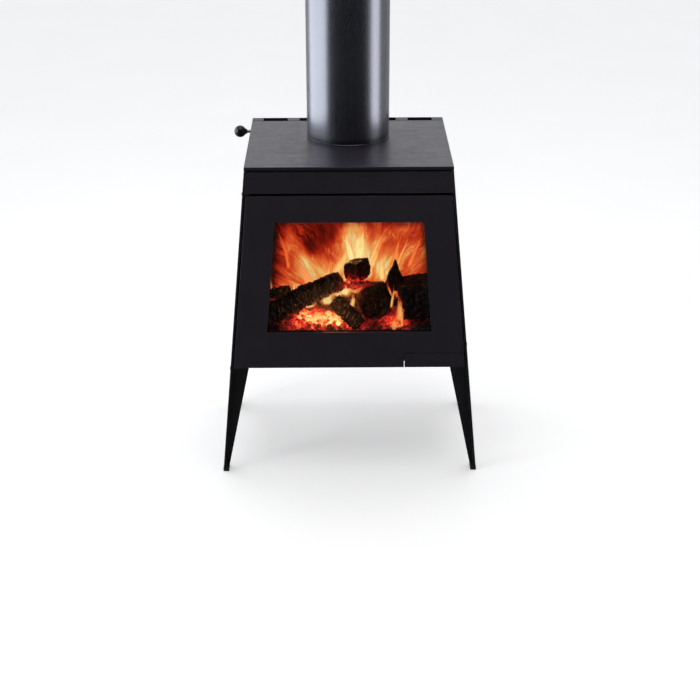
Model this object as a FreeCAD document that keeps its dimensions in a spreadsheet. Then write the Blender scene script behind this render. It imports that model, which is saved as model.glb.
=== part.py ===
import FreeCAD, Part
import Sketcher
import os

# A freestanding wood burning stove on tapered legs, with the first length of its flue and a laid fire.
# Millimetres. +Z is up, +X is to the right of someone facing the door, and the door faces -Y. The origin is
# on the floor, in the middle of the stove's width and depth. The side plates lean, so the stove is wider at
# the floor than at the cooktop. Depths are measured from the front face of the door, and heights from the
# floor.

SIZES = {
    # cooktop
    "top_width": 481,
    "top_depth": 395,
    "top_thick": 8,
    "top_overhang": 3,
    "top_chamfer": 0.8,
    "cooktop_height": 787.5,
    "seat_depth": 1,
    # leaning side plates, frames and legs
    "lean": 5.45,
    "side_thick": 5,
    "plate_thick": 5,
    "body_low": 288,
    "leg_width": 41,
    "leg_depth": 62,
    "toe_width": 9,
    "foot_width": 14,
    "foot_depth": 32,
    "foot_height": 8,
    "frame_depth": 26,
    # flue
    "flue_depth": 263,
    "flue_radius": 75,
    "flue_wall": 1,
    "flue_ledge": 3,
    "socket_length": 50,
    "socket_clearance": 0.6,
    "fit_gap": 0.3,
    "collar_wall": 5,
    "collar_height": 45,
    "casing_radius": 100,
    "casing_wall": 1.2,
    "casing_height": 501,
    "casing_hem": 3,
    "spacer_width": 14,
    "spacer_thick": 1.5,
    "spacer_gap": 0.1,
    # fascia and door
    "fascia_low": 723.6,
    "fascia_high": 775.5,
    "fascia_thick": 4,
    "fascia_gap": 0.6,
    "door_low": 282.6,
    "door_high": 717.5,
    "door_thick": 6,
    "door_gap": 2.6,
    "door_edge_radius": 2.5,
    "window_low": 374.6,
    "window_high": 652.6,
    "window_half_low": 197.1,
    "window_half_high": 173.7,
    "glass_thick": 4,
    "glass_lap": 10,
    "gasket_thick": 1.5,
    "gasket_width": 7,
    "stud_offset": 13.5,
    "stud_radius": 2.5,
    "clip_width": 24,
    "clip_thick": 1.5,
    "clip_pitch": 130,
    "clip_margin": 6.2,
    "clip_clearance": 0.2,
    "nut_thick": 2.5,
    "stud_end": 3,
    "mouth_lap": 14,
    "channel_start": 22,
    "channel_wall": 2.5,
    "channel_groove": 11,
    "channel_back": 8,
    "channel_rear": 18,
    "rope_rear": 25.7,
    "rope_radius": 4.4,
    # door hinge
    "pin_inset": 4.5,
    "pin_depth": 6,
    "pin_radius": 2.5,
    "pin_clearance": 0.05,
    "pin_boss": 6,
    "sleeve_radius": 4,
    "sleeve_length": 40,
    "tab_proud": 1.5,
    "tab_start": 3,
    "tab_length": 14,
    "bracket_thick": 3.6,
    "bracket_gap": 1.5,
    # door handle and latch
    "handle_left": 133.3,
    "handle_high": 318.7,
    "handle_gap": 1.7,
    "handle_thick": 7,
    "handle_edge_radius": 4,
    "shaft_across": 258,
    "shaft_depth": 11,
    "shaft_radius": 4,
    "shaft_high": 352,
    "bearing_width": 18,
    "bearing_thick": 8,
    "tongue_reach": 13,
    "tongue_low": 332,
    "tongue_high": 342,
    "keeper_reach": 6,
    "keeper_start": 8,
    "keeper_length": 4.5,
    # firebox
    "floor_height": 305,
    "brick": 25,
    "brick_gap": 1,
    "brick_clearance": 0.2,
    "brick_high": 628,
    "baffle_low": 652,
    "baffle_thick": 25,
    "baffle_front": 110,
    "rail_rise": 2,
    "rail_wall": 2,
    "tube_radius": 11,
    "tube_wall": 1.5,
    "tube_hole": 2.5,
    "tube_first": 130,
    "tube_pitch": 80,
    "retainer_high": 362,
    "retainer_depth": 40,
    "retainer_thick": 5,
    "duct_wall": 2,
    "duct_drop": 34,
    "duct_near": 150,
    "duct_far": 210,
    "washer_low": 672,
    "washer_depth": 60,
    "airbox_depth": 355,
    "airbox_drop": 54,
    "ducting_half": 225,
    # air inlet and its control
    "inlet_pitch": 100,
    "inlet_width": 44,
    "inlet_low": 749,
    "inlet_height": 12,
    "slide_half": 175,
    "slide_low": 739,
    "slide_high": 771,
    "slide_thick": 2,
    "slide_travel": 45,
    "guide_lip": 4,
    "rod_radius": 4,
    "rod_clearance": 0.05,
    "rod_height": 757.2,
    "rod_depth": 406,
    "ear_half": 8,
    "knob_centre": 272.5,
    "knob_radius": 15,
    "bush_radius": 7,
    "bush_proud": 2,
    # heat shields
    "channel_depth": 29,
    "shield_thick": 1.5,
    "shield_low": 320,
    "end_tab": 28,
    "slot_width": 61,
    "inner_tab": 30,
    "tab_gap": 2.5,
    "screw_radius": 3,
    "screw_head": 3.3,
    "screw_head_radius": 6,
    "shield_screw_across": 190,
    "shield_screw_low": 360,
    "shield_screw_high": 700,
    "belly_low": 268,
    "belly_front": 80,
    "belly_rear": 370,
    "belly_half": 235,
    "belly_post_inset": 30,
    # fuel
    "ember_height": 20,
    "ember_half": 205,
    "ember_front": 62,
    "ember_rear": 345,
}

doc = FreeCAD.newDocument("wood_burning_stove")
sheet = doc.addObject("Spreadsheet::Sheet", "Sizes")
for row, (alias, size) in enumerate(SIZES.items(), start=1):
    sheet.set(f"A{row}", str(size))
    sheet.setAlias(f"A{row}", alias)
doc.recompute()

FRONT = "(Sizes.top_overhang - (Sizes.top_depth + Sizes.channel_depth + Sizes.screw_head) / 2)"
TOP_LOW = "(Sizes.cooktop_height - Sizes.top_thick)"
FLUE_BASE = "(Sizes.cooktop_height - Sizes.seat_depth)"
PLATE_REAR = "(Sizes.top_depth - Sizes.top_overhang)"
PLATE_BACK = f"({PLATE_REAR} - Sizes.plate_thick)"
FRAME_REAR = "(Sizes.frame_depth + Sizes.plate_thick)"
SHIELD_REAR = f"({PLATE_REAR} + Sizes.channel_depth)"
BRICK_TOP = "(Sizes.floor_height + Sizes.brick)"
BRICK_FRONT = f"({FRAME_REAR} + Sizes.brick_gap)"
BRICK_BACK = f"({PLATE_BACK} - Sizes.brick_gap - Sizes.brick)"
RAIL_LOW = "(Sizes.brick_high + Sizes.rail_rise)"
GLASS_FRONT = "(Sizes.door_thick + Sizes.gasket_thick)"
GLASS_REAR = f"({GLASS_FRONT} + Sizes.glass_thick)"
HINGE_HEIGHTS = (
    "(Sizes.door_high + Sizes.bracket_gap)",
    "(Sizes.door_low - Sizes.bracket_gap - Sizes.bracket_thick)",
)
SLEEVE_STARTS = ("(Sizes.door_low + 1)", "(Sizes.door_high - Sizes.sleeve_length - 1)")
X_AXIS = FreeCAD.Vector(1, 0, 0)
Y_AXIS = FreeCAD.Vector(0, 1, 0)
SIDES = {"left": -1, "right": 1}
pieces = []


# ---------------------------------------------------------------- expressions for the leaning sides

def outer(height):
    """Half the width over the side plates' outer faces at a height."""
    return f"(Sizes.top_width / 2 + ({TOP_LOW} - {height}) * tan(Sizes.lean))"


def inner(height, inset="0"):
    """Half the width between the side plates' inner faces at a height, less an inset."""
    return f"({outer(height)} - Sizes.side_thick - {inset})"


def door_edge(height):
    """Half the door's width at a height."""
    return inner(height, "Sizes.door_gap")


def window_half(height, offset="0"):
    """Half the width of an outline drawn an offset outside the door's window, at a height."""
    slope = "(Sizes.window_half_low - Sizes.window_half_high) / (Sizes.window_high - Sizes.window_low)"
    return f"(Sizes.window_half_high + (Sizes.window_high - {height}) * {slope} + {offset})"


def pin_across(height):
    """Where the door's hinge axis stands left of the middle, at a height."""
    return f"({door_edge(height)} - Sizes.pin_inset)"


def number(expression):
    return float(sheet.evalExpression(expression))


# ---------------------------------------------------------------- outlines

def trapezoid(low, high, half_low, half_high):
    return [(f"-{half_low}", low), (half_low, low), (half_high, high), (f"-{half_high}", high)]


def rectangle(x_low, x_high, y_low, y_high):
    return [(x_low, y_low), (x_high, y_low), (x_high, y_high), (x_low, y_high)]


def window_outline(offset):
    low, high = f"(Sizes.window_low - {offset})", f"(Sizes.window_high + {offset})"
    return trapezoid(low, high, window_half(low, offset), window_half(high, offset))


def legged_outline():
    """A frame plate that fills the space between the side plates and ends in two tapered legs."""
    toe = "Sizes.foot_height"
    crotch = f"({inner('Sizes.body_low')} - Sizes.leg_width)"
    toe_inside = f"({inner(toe)} - Sizes.toe_width)"
    right = [
        (inner(TOP_LOW), TOP_LOW),
        (inner(toe), toe),
        (toe_inside, toe),
        (crotch, "Sizes.body_low"),
    ]
    left = [(f"-{x}", y) for x, y in reversed(right)]
    return right + left


# ---------------------------------------------------------------- sketches and features

def bind(thing, expressions):
    for prop, expression in expressions.items():
        thing.setExpression(prop, expression)
    return thing


def place(thing, across="0", depth="0", height="0"):
    """Puts an object at a place across the stove, a depth behind the door's face and a height."""
    base = {"Placement.Base.x": across, "Placement.Base.y": f"{FRONT} + {depth}", "Placement.Base.z": height}
    return bind(thing, base)


def piece(thing):
    """Marks an object as a sub-part of the stove, named by its label."""
    pieces.append(thing)
    return thing


def sketch_on(body, role):
    sketch = body.newObject("Sketcher::SketchObject", f"{body.Name}_sketch")
    plane = next(face for face in body.Origin.OriginFeatures if face.Role == role)
    sketch.AttachmentSupport = [(plane, "")]
    sketch.MapMode = "FlatFace"
    return sketch


def pin_point(sketch, line, x, y):
    """Fixes a line's first point, or a circle's centre, by expressions in the sketch's own axes."""
    point = 3 if isinstance(sketch.Geometry[line], Part.Circle) else 1
    for kind, axis, expression in (("DistanceX", -2, x), ("DistanceY", -1, y)):
        if expression == "0":
            sketch.addConstraint(Sketcher.Constraint("PointOnObject", line, point, axis))
            continue
        size = number(expression)
        index = sketch.addConstraint(Sketcher.Constraint(kind, -1, 1, line, point, size))
        sketch.setExpression(f"Constraints[{index}]", expression)


def draw_polygon(sketch, corners):
    points = [FreeCAD.Vector(number(x), number(y), 0) for x, y in corners]
    first, count = len(sketch.Geometry), len(points)
    for index, point in enumerate(points):
        sketch.addGeometry(Part.LineSegment(point, points[(index + 1) % count]))
    for index in range(count):
        following = first + (index + 1) % count
        sketch.addConstraint(Sketcher.Constraint("Coincident", first + index, 2, following, 1))
    for index, (x, y) in enumerate(corners):
        pin_point(sketch, first + index, x, y)


def draw_circle(sketch, x, y, radius):
    centre = FreeCAD.Vector(number(x), number(y), 0)
    line = sketch.addGeometry(Part.Circle(centre, FreeCAD.Vector(0, 0, 1), number(radius)))
    pin_point(sketch, line, x, y)
    index = sketch.addConstraint(Sketcher.Constraint("Radius", line, number(radius)))
    sketch.setExpression(f"Constraints[{index}]", radius)


def add_pad(body, role, outlines, thickness, circles=(), centred=False):
    """Pads outlines drawn on an origin plane towards +X, +Y or +Z, or half to each side."""
    sketch = sketch_on(body, role)
    for corners in outlines:
        draw_polygon(sketch, corners)
    for circle in circles:
        draw_circle(sketch, *circle)
    pad = body.newObject("PartDesign::Pad", f"{body.Name}_pad")
    pad.Profile = sketch
    pad.Reversed = role == "XZ_Plane" and not centred
    pad.SideType = "Symmetric" if centred else "One side"
    pad.setExpression("Length", thickness)
    sketch.Visibility = False
    doc.recompute()
    return pad


def add_pocket(body, role, outlines, circles=()):
    """Cuts outlines right through a body, to both sides of an origin plane."""
    before = body.Shape.Volume
    sketch = sketch_on(body, role)
    for corners in outlines:
        draw_polygon(sketch, corners)
    for circle in circles:
        draw_circle(sketch, *circle)
    pocket = body.newObject("PartDesign::Pocket", f"{body.Name}_pocket")
    pocket.Profile = sketch
    pocket.SideType = "Symmetric"
    pocket.Type = "ThroughAll"
    sketch.Visibility = False
    doc.recompute()
    if body.Shape.Volume >= before:
        raise ValueError(f"{body.Name}: a pocket cut nothing")
    return pocket


def new_body(name, across="0", depth="0", height="0"):
    return place(doc.addObject("PartDesign::Body", name), across, depth, height)


def plate(name, role, outline, thickness, at=("0", "0", "0"), holes=(), circles=(), centred=False):
    """A body cut from flat plate: one outline with its holes, padded once."""
    body = new_body(name, *at)
    add_pad(body, role, [outline, *holes], thickness, circles, centred)
    return body


def soften(body, kind, prop, size, chosen):
    """Rounds or chamfers the edges of a body that a test picks out."""
    tip = body.Tip
    names = [f"Edge{i}" for i, edge in enumerate(tip.Shape.Edges, start=1) if chosen(edge)]
    feature = body.newObject(kind, f"{body.Name}_edges")
    feature.Base = (tip, names)
    feature.setExpression(prop, size)
    doc.recompute()
    return feature


def flat_at(edge, axis, level):
    """True if both ends of an edge lie at a level along an axis, in the body's own frame."""
    return all(abs(getattr(vertex.Point, axis) - level) < 1e-4 for vertex in edge.Vertexes)


def level_edges(axis, level):
    """A test for soften() that picks every edge at a level along an axis."""
    def chosen(edge):
        return flat_at(edge, axis, level)
    return chosen


def revolved(name, profile, depth, height):
    """A ring about an upright axis, from a profile of radii and heights."""
    body = new_body(name, "0", depth, height)
    sketch = sketch_on(body, "XZ_Plane")
    draw_polygon(sketch, profile)
    turn = body.newObject("PartDesign::Revolution", f"{name}_turn")
    turn.Profile = sketch
    turn.ReferenceAxis = (sketch, ["V_Axis"])
    turn.Angle = 360
    sketch.Visibility = False
    doc.recompute()
    return body


# ---------------------------------------------------------------- primitives and booleans

TURNS = {
    "up": FreeCAD.Rotation(),
    "right": FreeCAD.Rotation(Y_AXIS, 90),
    "left": FreeCAD.Rotation(Y_AXIS, -90),
    "front": FreeCAD.Rotation(X_AXIS, 90),
    "rear": FreeCAD.Rotation(X_AXIS, -90),
}


def box(name, across, depth, height, wide, deep, high):
    block = doc.addObject("Part::Box", name)
    bind(block, {"Length": wide, "Width": deep, "Height": high})
    return place(block, across, depth, height)


def rod(name, radius, length, at, towards="up"):
    cylinder = doc.addObject("Part::Cylinder", name)
    cylinder.Placement = FreeCAD.Placement(FreeCAD.Vector(), TURNS[towards])
    bind(cylinder, {"Radius": radius, "Height": length})
    return place(cylinder, *at)


def leaning_rod(name, radius, length, height):
    """A round bar on the door's hinge axis, from a height upwards."""
    cylinder = doc.addObject("Part::Cylinder", name)
    cylinder.Placement = FreeCAD.Placement(FreeCAD.Vector(), FreeCAD.Rotation(Y_AXIS, 1))
    bind(cylinder, {"Radius": radius, "Height": length, "Placement.Rotation.Angle": "Sizes.lean"})
    return place(cylinder, f"-{pin_across(height)}", "Sizes.pin_depth", height)


def hexagon(name, radius, length, at, towards):
    prism = doc.addObject("Part::Prism", name)
    prism.Placement = FreeCAD.Placement(FreeCAD.Vector(), TURNS[towards])
    prism.Polygon = 6
    bind(prism, {"Circumradius": radius, "Height": length})
    return place(prism, *at)


def beside_plate(heights, near, far):
    """The two half-widths, at each height, of a block that leans with the side plates' inner faces."""
    return [(inner(height, near), inner(height, far)) for height in heights]


def leaning_block(name, side, spans, depths, heights):
    """A block whose side faces lean: spans gives its two half-widths at each of its two heights."""
    wedge = doc.addObject("Part::Wedge", name)
    wedge.Placement = FreeCAD.Placement(FreeCAD.Vector(), TURNS["front"])
    limits = {"Ymin": heights[0], "Ymax": heights[1]}
    for letter, span in zip(("X", "X2"), spans):
        edges = sorted((f"{side} * {half}" for half in span), key=number)
        limits[f"{letter}min"], limits[f"{letter}max"] = edges
    for letter in ("Z", "Z2"):
        limits[f"{letter}min"], limits[f"{letter}max"] = f"-{depths[1]}", f"-{depths[0]}"
    return place(bind(wedge, limits))


def cut(name, base, tool):
    result = doc.addObject("Part::Cut", name)
    result.Base, result.Tool = base, tool
    doc.recompute()
    if result.Shape.Volume >= base.Shape.Volume:
        raise ValueError(f"{name}: a cut took nothing away")
    return result


def fuse(name, *members):
    result = doc.addObject("Part::MultiFuse", name)
    result.Shapes = list(members)
    result.Refine = True
    return result


def group(name, members):
    """Several like solids that share one node."""
    result = doc.addObject("Part::Compound", name)
    result.Links = list(members)
    return result


def tube(name, radius, bore, length, at, towards="up"):
    solid = rod(f"{name}_solid", radius, length, at, towards)
    return cut(name, solid, rod(f"{name}_bore", bore, length, at, towards))


# ---------------------------------------------------------------- cooktop and flue

def make_top_plate():
    """The cooktop, with a shallow round seat that the flue and its casing stand in."""
    outline = rectangle("-Sizes.top_width / 2", "Sizes.top_width / 2", "-Sizes.top_overhang", PLATE_REAR)
    hole = ("0", "Sizes.flue_depth", "(Sizes.flue_radius - Sizes.flue_ledge)")
    blank = plate("top_blank", "XY_Plane", outline, "Sizes.top_thick", ("0", "0", TOP_LOW), circles=[hole])
    upper_face = number("Sizes.top_thick")
    soften(blank, "PartDesign::Chamfer", "Size", "Sizes.top_chamfer", level_edges("z", upper_face))
    radius = "(Sizes.casing_radius + Sizes.casing_wall)"
    seat = rod("flue_seat", radius, "Sizes.seat_depth", ("0", "Sizes.flue_depth", FLUE_BASE))
    piece(cut("top_plate", blank, seat))


def make_flue():
    pipe_in = "(Sizes.flue_radius - Sizes.flue_wall)"
    socket_in = "(Sizes.flue_radius + Sizes.socket_clearance)"
    socket_out = "(Sizes.flue_radius + Sizes.socket_clearance + Sizes.flue_wall)"
    pipe_top = "(Sizes.casing_height + Sizes.socket_length / 2)"
    shoulder = f"({pipe_top} - Sizes.socket_length)"
    bend = f"({shoulder} - 4 * Sizes.flue_wall)"
    pipe = [
        (pipe_in, "0"),
        ("Sizes.flue_radius", "0"),
        ("Sizes.flue_radius", bend),
        (socket_out, shoulder),
        (socket_out, pipe_top),
        (socket_in, pipe_top),
        (socket_in, shoulder),
        (pipe_in, bend),
    ]
    piece(revolved("flue_pipe", pipe, "Sizes.flue_depth", FLUE_BASE))

    collar_in = "(Sizes.flue_radius + Sizes.fit_gap)"
    collar = rectangle(collar_in, f"({collar_in} + Sizes.collar_wall)", "0", "Sizes.collar_height")
    piece(revolved("flue_collar", collar, "Sizes.flue_depth", FLUE_BASE))

    casing_in = "(Sizes.casing_radius - Sizes.casing_wall)"
    hem_out = "(Sizes.casing_radius + Sizes.casing_wall / 2)"
    casing = [
        (casing_in, "0"),
        (hem_out, "0"),
        (hem_out, "Sizes.casing_hem"),
        ("Sizes.casing_radius", "Sizes.casing_hem + Sizes.casing_wall / 2"),
        ("Sizes.casing_radius", "Sizes.casing_height"),
        (casing_in, "Sizes.casing_height"),
    ]
    piece(revolved("flue_casing", casing, "Sizes.flue_depth", FLUE_BASE))


def make_flue_spacers():
    """Three arms at each of two levels keep the casing clear of the hot pipe."""
    arms = []
    for level in ("0.2", "0.85"):
        for turn in range(3):
            arm = doc.addObject("Part::Box", "flue_spacer_arm")
            sizes = {
                "Length": "Sizes.casing_radius - Sizes.casing_wall - Sizes.flue_radius - 2 * Sizes.fit_gap",
                "Width": "Sizes.spacer_width",
                "Height": "Sizes.spacer_thick",
            }
            bind(arm, sizes)
            angle = 30 + 120 * turn
            turned = FreeCAD.Rotation(FreeCAD.Vector(0, 0, 1), angle)
            arm.Placement = FreeCAD.Placement(FreeCAD.Vector(), turned)
            start, half = "(Sizes.flue_radius + Sizes.spacer_gap)", "Sizes.spacer_width / 2"
            across = f"{start} * cos({angle}) + {half} * sin({angle})"
            along = f"Sizes.flue_depth + {start} * sin({angle}) - {half} * cos({angle})"
            place(arm, across, along, f"{FLUE_BASE} + Sizes.casing_height * {level}")
            arms.append(arm)
    piece(group("flue_spacers", arms))


# ---------------------------------------------------------------- side plates, frames and feet

def tab_slot(name, side, start, length, height, thickness):
    """The slot in a side plate that a welded tab comes out of."""
    across = outer(height) if side < 0 else inner(height)
    reach = "(Sizes.side_thick * 4)"
    corner = f"{side} * {across} - {reach} / 2"
    return box(name, corner, start, height, reach, length, thickness)


def make_side_plate(label, side, slots):
    """A flat plate that is the firebox's wall above and two tapered legs below, slotted for welded tabs."""
    body = new_body(f"{label}_side_blank")
    low, high = "Sizes.foot_height", TOP_LOW
    section = [
        (f"{side} * {outer(low)}", low),
        (f"{side} * {inner(low)}", low),
        (f"{side} * {inner(high)}", high),
        (f"{side} * {outer(high)}", high),
    ]
    add_pad(body, "XZ_Plane", [section], PLATE_REAR)
    below = "(Sizes.foot_height - 1)"
    arch = [
        ("Sizes.foot_depth", below),
        ("Sizes.leg_depth", "Sizes.body_low"),
        (f"({PLATE_REAR} - Sizes.leg_depth)", "Sizes.body_low"),
        (f"({PLATE_REAR} - Sizes.foot_depth)", below),
    ]
    add_pocket(body, "YZ_Plane", [arch])
    piece(cut(f"{label}_side_plate", body, group(f"{label}_side_slots", slots)))


def make_side_plates():
    tab = ("Sizes.tab_start", "Sizes.tab_length")
    hinges = [tab_slot("hinge_slot", -1, *tab, height, "Sizes.bracket_thick") for height in HINGE_HEIGHTS]
    make_side_plate("left", -1, hinges)
    keeper = ("Sizes.keeper_start", "Sizes.keeper_length")
    slot_high = "(Sizes.tongue_high - Sizes.tongue_low)"
    slot = tab_slot("keeper_slot", 1, *keeper, "Sizes.tongue_low", slot_high)
    make_side_plate("right", 1, [slot])


def make_front_frame():
    mouth = window_outline("Sizes.mouth_lap")
    at = ("0", "Sizes.frame_depth", "0")
    piece(plate("front_frame", "XZ_Plane", legged_outline(), "Sizes.plate_thick", at, holes=[mouth]))


def inlet_outlines(shift="0"):
    """Three air inlets in a row, moved across by a shift."""
    outlines = []
    for place_in_row in (-1, 0, 1):
        middle = f"({place_in_row} * Sizes.inlet_pitch + {shift})"
        sides = (f"({middle} - Sizes.inlet_width / 2)", f"({middle} + Sizes.inlet_width / 2)")
        outlines.append(rectangle(*sides, "Sizes.inlet_low", "(Sizes.inlet_low + Sizes.inlet_height)"))
    return outlines


def make_rear_plate():
    at = ("0", PLATE_BACK, "0")
    piece(plate("rear_plate", "XZ_Plane", legged_outline(), "Sizes.plate_thick", at, holes=inlet_outlines()))


def make_feet():
    feet = []
    for side in SIDES.values():
        across = f"{outer('0')} - Sizes.foot_width" if side > 0 else f"-{outer('0')}"
        for depth in ("0", f"{PLATE_REAR} - Sizes.foot_depth"):
            size = ("Sizes.foot_width", "Sizes.foot_depth", "Sizes.foot_height")
            feet.append(box("foot_pad", across, depth, "0", *size))
    piece(group("foot_pads", feet))


# ---------------------------------------------------------------- firebox

def make_firebox_floor():
    half = inner("Sizes.floor_height")
    low = "(Sizes.floor_height - Sizes.plate_thick)"
    size = (f"2 * {half}", f"{PLATE_BACK} - {FRAME_REAR}", "Sizes.plate_thick")
    piece(box("firebox_floor", f"-{half}", FRAME_REAR, low, *size))


def make_floor_bricks():
    """Three bricks across and two deep, between the side bricks."""
    half = f"({inner(BRICK_TOP)} - Sizes.brick - Sizes.brick_gap)"
    wide = f"(2 * {half} / 3)"
    deep = f"(({BRICK_BACK} - {BRICK_FRONT}) / 2)"
    bricks = []
    for column in range(3):
        for line in range(2):
            across = f"-{half} + {column} * {wide}"
            depth = f"{BRICK_FRONT} + {line} * {deep}"
            size = (f"{wide} - Sizes.brick_gap", f"{deep} - Sizes.brick_gap", "Sizes.brick")
            bricks.append(box("floor_brick", across, depth, "Sizes.floor_height", *size))
    piece(group("floor_bricks", bricks))


def make_side_bricks(label, side):
    """Three bricks in a row that lean against a side plate."""
    long = f"(({BRICK_BACK} - {BRICK_FRONT}) / 3)"
    heights = ("Sizes.floor_height", "Sizes.brick_high")
    spans = beside_plate(heights, "Sizes.brick", "Sizes.brick_clearance")
    bricks = []
    for line in range(3):
        start = f"({BRICK_FRONT} + {line} * {long})"
        depths = (start, f"({start} + {long} - Sizes.brick_gap)")
        bricks.append(leaning_block(f"{label}_brick", side, spans, depths, heights))
    piece(group(f"{label}_bricks", bricks))


def make_rear_bricks():
    """Two square bricks in the middle and a tapered one at each end."""
    depths = (BRICK_BACK, f"({BRICK_BACK} + Sizes.brick)")
    heights = ("Sizes.floor_height", "Sizes.brick_high")
    middle = [("(Sizes.brick_gap / 2)", "Sizes.inlet_pitch")] * 2
    joint = "(Sizes.inlet_pitch + Sizes.brick_gap)"
    end = [(joint, inner(height, "Sizes.brick_gap")) for height in heights]
    bricks = []
    for side in SIDES.values():
        bricks.append(leaning_block("rear_brick", side, middle, depths, heights))
        bricks.append(leaning_block("rear_end_brick", side, end, depths, heights))
    piece(group("rear_bricks", bricks))


def make_air_rails():
    """A square pipe along the top of each row of side bricks carries the baffle and feeds the air tubes."""
    depths = (BRICK_FRONT, PLATE_BACK)
    heights = (RAIL_LOW, "Sizes.baffle_low")
    spans = beside_plate(heights, "Sizes.brick", "Sizes.brick_clearance")
    wall = "Sizes.rail_wall"
    bore = (f"({RAIL_LOW} + {wall})", f"(Sizes.baffle_low - {wall})")
    bore_spans = beside_plate(bore, f"(Sizes.brick - {wall})", f"(Sizes.brick_clearance + {wall})")
    rails = []
    for label, side in SIDES.items():
        solid = leaning_block(f"{label}_rail_solid", side, spans, depths, heights)
        hollow = leaning_block(f"{label}_rail_bore", side, bore_spans, depths, bore)
        rails.append(cut(f"{label}_air_rail", solid, hollow))
    piece(group("air_rails", rails))


def make_air_tubes():
    """Three cross tubes with a row of jets aimed at the fire."""
    height = f"(({RAIL_LOW} + Sizes.baffle_low) / 2)"
    half = f"({inner('Sizes.baffle_low', 'Sizes.brick')} - Sizes.brick_clearance)"
    inside = "(Sizes.tube_radius - Sizes.tube_wall)"
    tubes = []
    for row_number in range(3):
        depth = f"(Sizes.tube_first + {row_number} * Sizes.tube_pitch)"
        at = (f"-{half}", depth, height)
        blank = tube("air_tube_blank", "Sizes.tube_radius", inside, f"2 * {half}", at, "right")
        jets = []
        for jet in range(-4, 5):
            start = (f"{jet} * Sizes.inlet_width", depth, height)
            jets.append(rod("air_jet", "Sizes.tube_hole", "2 * Sizes.tube_radius", start, "front"))
        tubes.append(cut("air_tube", blank, group("air_jets", jets)))
    piece(group("secondary_air_tubes", tubes))


def make_baffle():
    low = "Sizes.baffle_low"
    half = f"({inner(f'({low} + Sizes.baffle_thick)')} - 2)"
    size = (f"2 * {half}", f"{PLATE_BACK} - Sizes.brick_gap - Sizes.baffle_front", "Sizes.baffle_thick")
    piece(box("baffle_plate", f"-{half}", "Sizes.baffle_front", low, *size))


def make_log_retainer():
    """An angle bar that stands on the floor bricks, just inside the door."""
    low, high = BRICK_TOP, "Sizes.retainer_high"
    front = "Sizes.retainer_depth"
    section = [
        (front, low),
        (f"({front} + Sizes.brick)", low),
        (f"({front} + Sizes.brick)", f"({low} + Sizes.retainer_thick)"),
        (f"({front} + Sizes.retainer_thick)", f"({low} + Sizes.retainer_thick)"),
        (f"({front} + Sizes.retainer_thick)", high),
        (front, high),
    ]
    length = f"2 * ({inner(high, 'Sizes.brick')} - 2)"
    piece(plate("log_retainer", "YZ_Plane", section, length, centred=True))


def make_airwash():
    """A folded sheet above the door's glass sends air down over it."""
    rear, low = "Sizes.washer_depth", "Sizes.washer_low"
    lip = f"({FRAME_REAR} + 4 * Sizes.duct_wall)"
    section = [
        (lip, low),
        (rear, low),
        (rear, TOP_LOW),
        (f"({rear} - Sizes.duct_wall)", TOP_LOW),
        (f"({rear} - Sizes.duct_wall)", f"({low} + Sizes.duct_wall)"),
        (lip, f"({low} + Sizes.duct_wall)"),
    ]
    sheet_body = plate("airwash_sheet", "YZ_Plane", section, "2 * Sizes.ducting_half", centred=True)
    openings = [duct_space(f"airwash_opening_{label}", side) for label, side in SIDES.items()]
    piece(cut("airwash_deflector", sheet_body, group("airwash_openings", openings)))


def duct_space(name, side):
    """The straight run of one air duct, from the rear box to the airwash."""
    start = "(Sizes.washer_depth - 2 * Sizes.duct_wall)"
    length = f"(Sizes.airbox_depth + 2 * Sizes.duct_wall - {start})"
    wide = "(Sizes.duct_far - Sizes.duct_near)"
    across = "Sizes.duct_near" if side > 0 else "-Sizes.duct_far"
    return box(name, across, start, f"{TOP_LOW} - Sizes.duct_drop", wide, length, "Sizes.duct_drop")


def make_air_ducts():
    """Two channels under the cooktop, open side up, carry air from the rear box to the airwash."""
    ducts = []
    wall = "Sizes.duct_wall"
    for label, side in SIDES.items():
        solid = box(
            f"{label}_duct_solid",
            "Sizes.duct_near" if side > 0 else "-Sizes.duct_far",
            "Sizes.washer_depth",
            f"{TOP_LOW} - Sizes.duct_drop",
            "Sizes.duct_far - Sizes.duct_near",
            "Sizes.airbox_depth - Sizes.washer_depth",
            "Sizes.duct_drop",
        )
        hollow = box(
            f"{label}_duct_bore",
            f"Sizes.duct_near + {wall}" if side > 0 else f"-Sizes.duct_far + {wall}",
            "Sizes.washer_depth",
            f"{TOP_LOW} - Sizes.duct_drop + {wall}",
            f"Sizes.duct_far - Sizes.duct_near - 2 * {wall}",
            "Sizes.airbox_depth - Sizes.washer_depth",
            "Sizes.duct_drop",
        )
        ducts.append(cut(f"{label}_air_duct", solid, hollow))
    piece(group("air_ducts", ducts))


def make_rear_air_box():
    """A folded sheet inside the rear plate gathers air from the inlets."""
    front, low = "Sizes.airbox_depth", f"({TOP_LOW} - Sizes.airbox_drop)"
    section = [
        (front, TOP_LOW),
        (front, low),
        (PLATE_BACK, low),
        (PLATE_BACK, f"({low} + Sizes.duct_wall)"),
        (f"({front} + Sizes.duct_wall)", f"({low} + Sizes.duct_wall)"),
        (f"({front} + Sizes.duct_wall)", TOP_LOW),
    ]
    folded = plate("air_box_sheet", "YZ_Plane", section, "2 * Sizes.ducting_half", centred=True)
    openings = [duct_space(f"air_box_opening_{label}", side) for label, side in SIDES.items()]
    piece(cut("rear_air_box", folded, group("air_box_openings", openings)))


# ---------------------------------------------------------------- fascia

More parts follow.
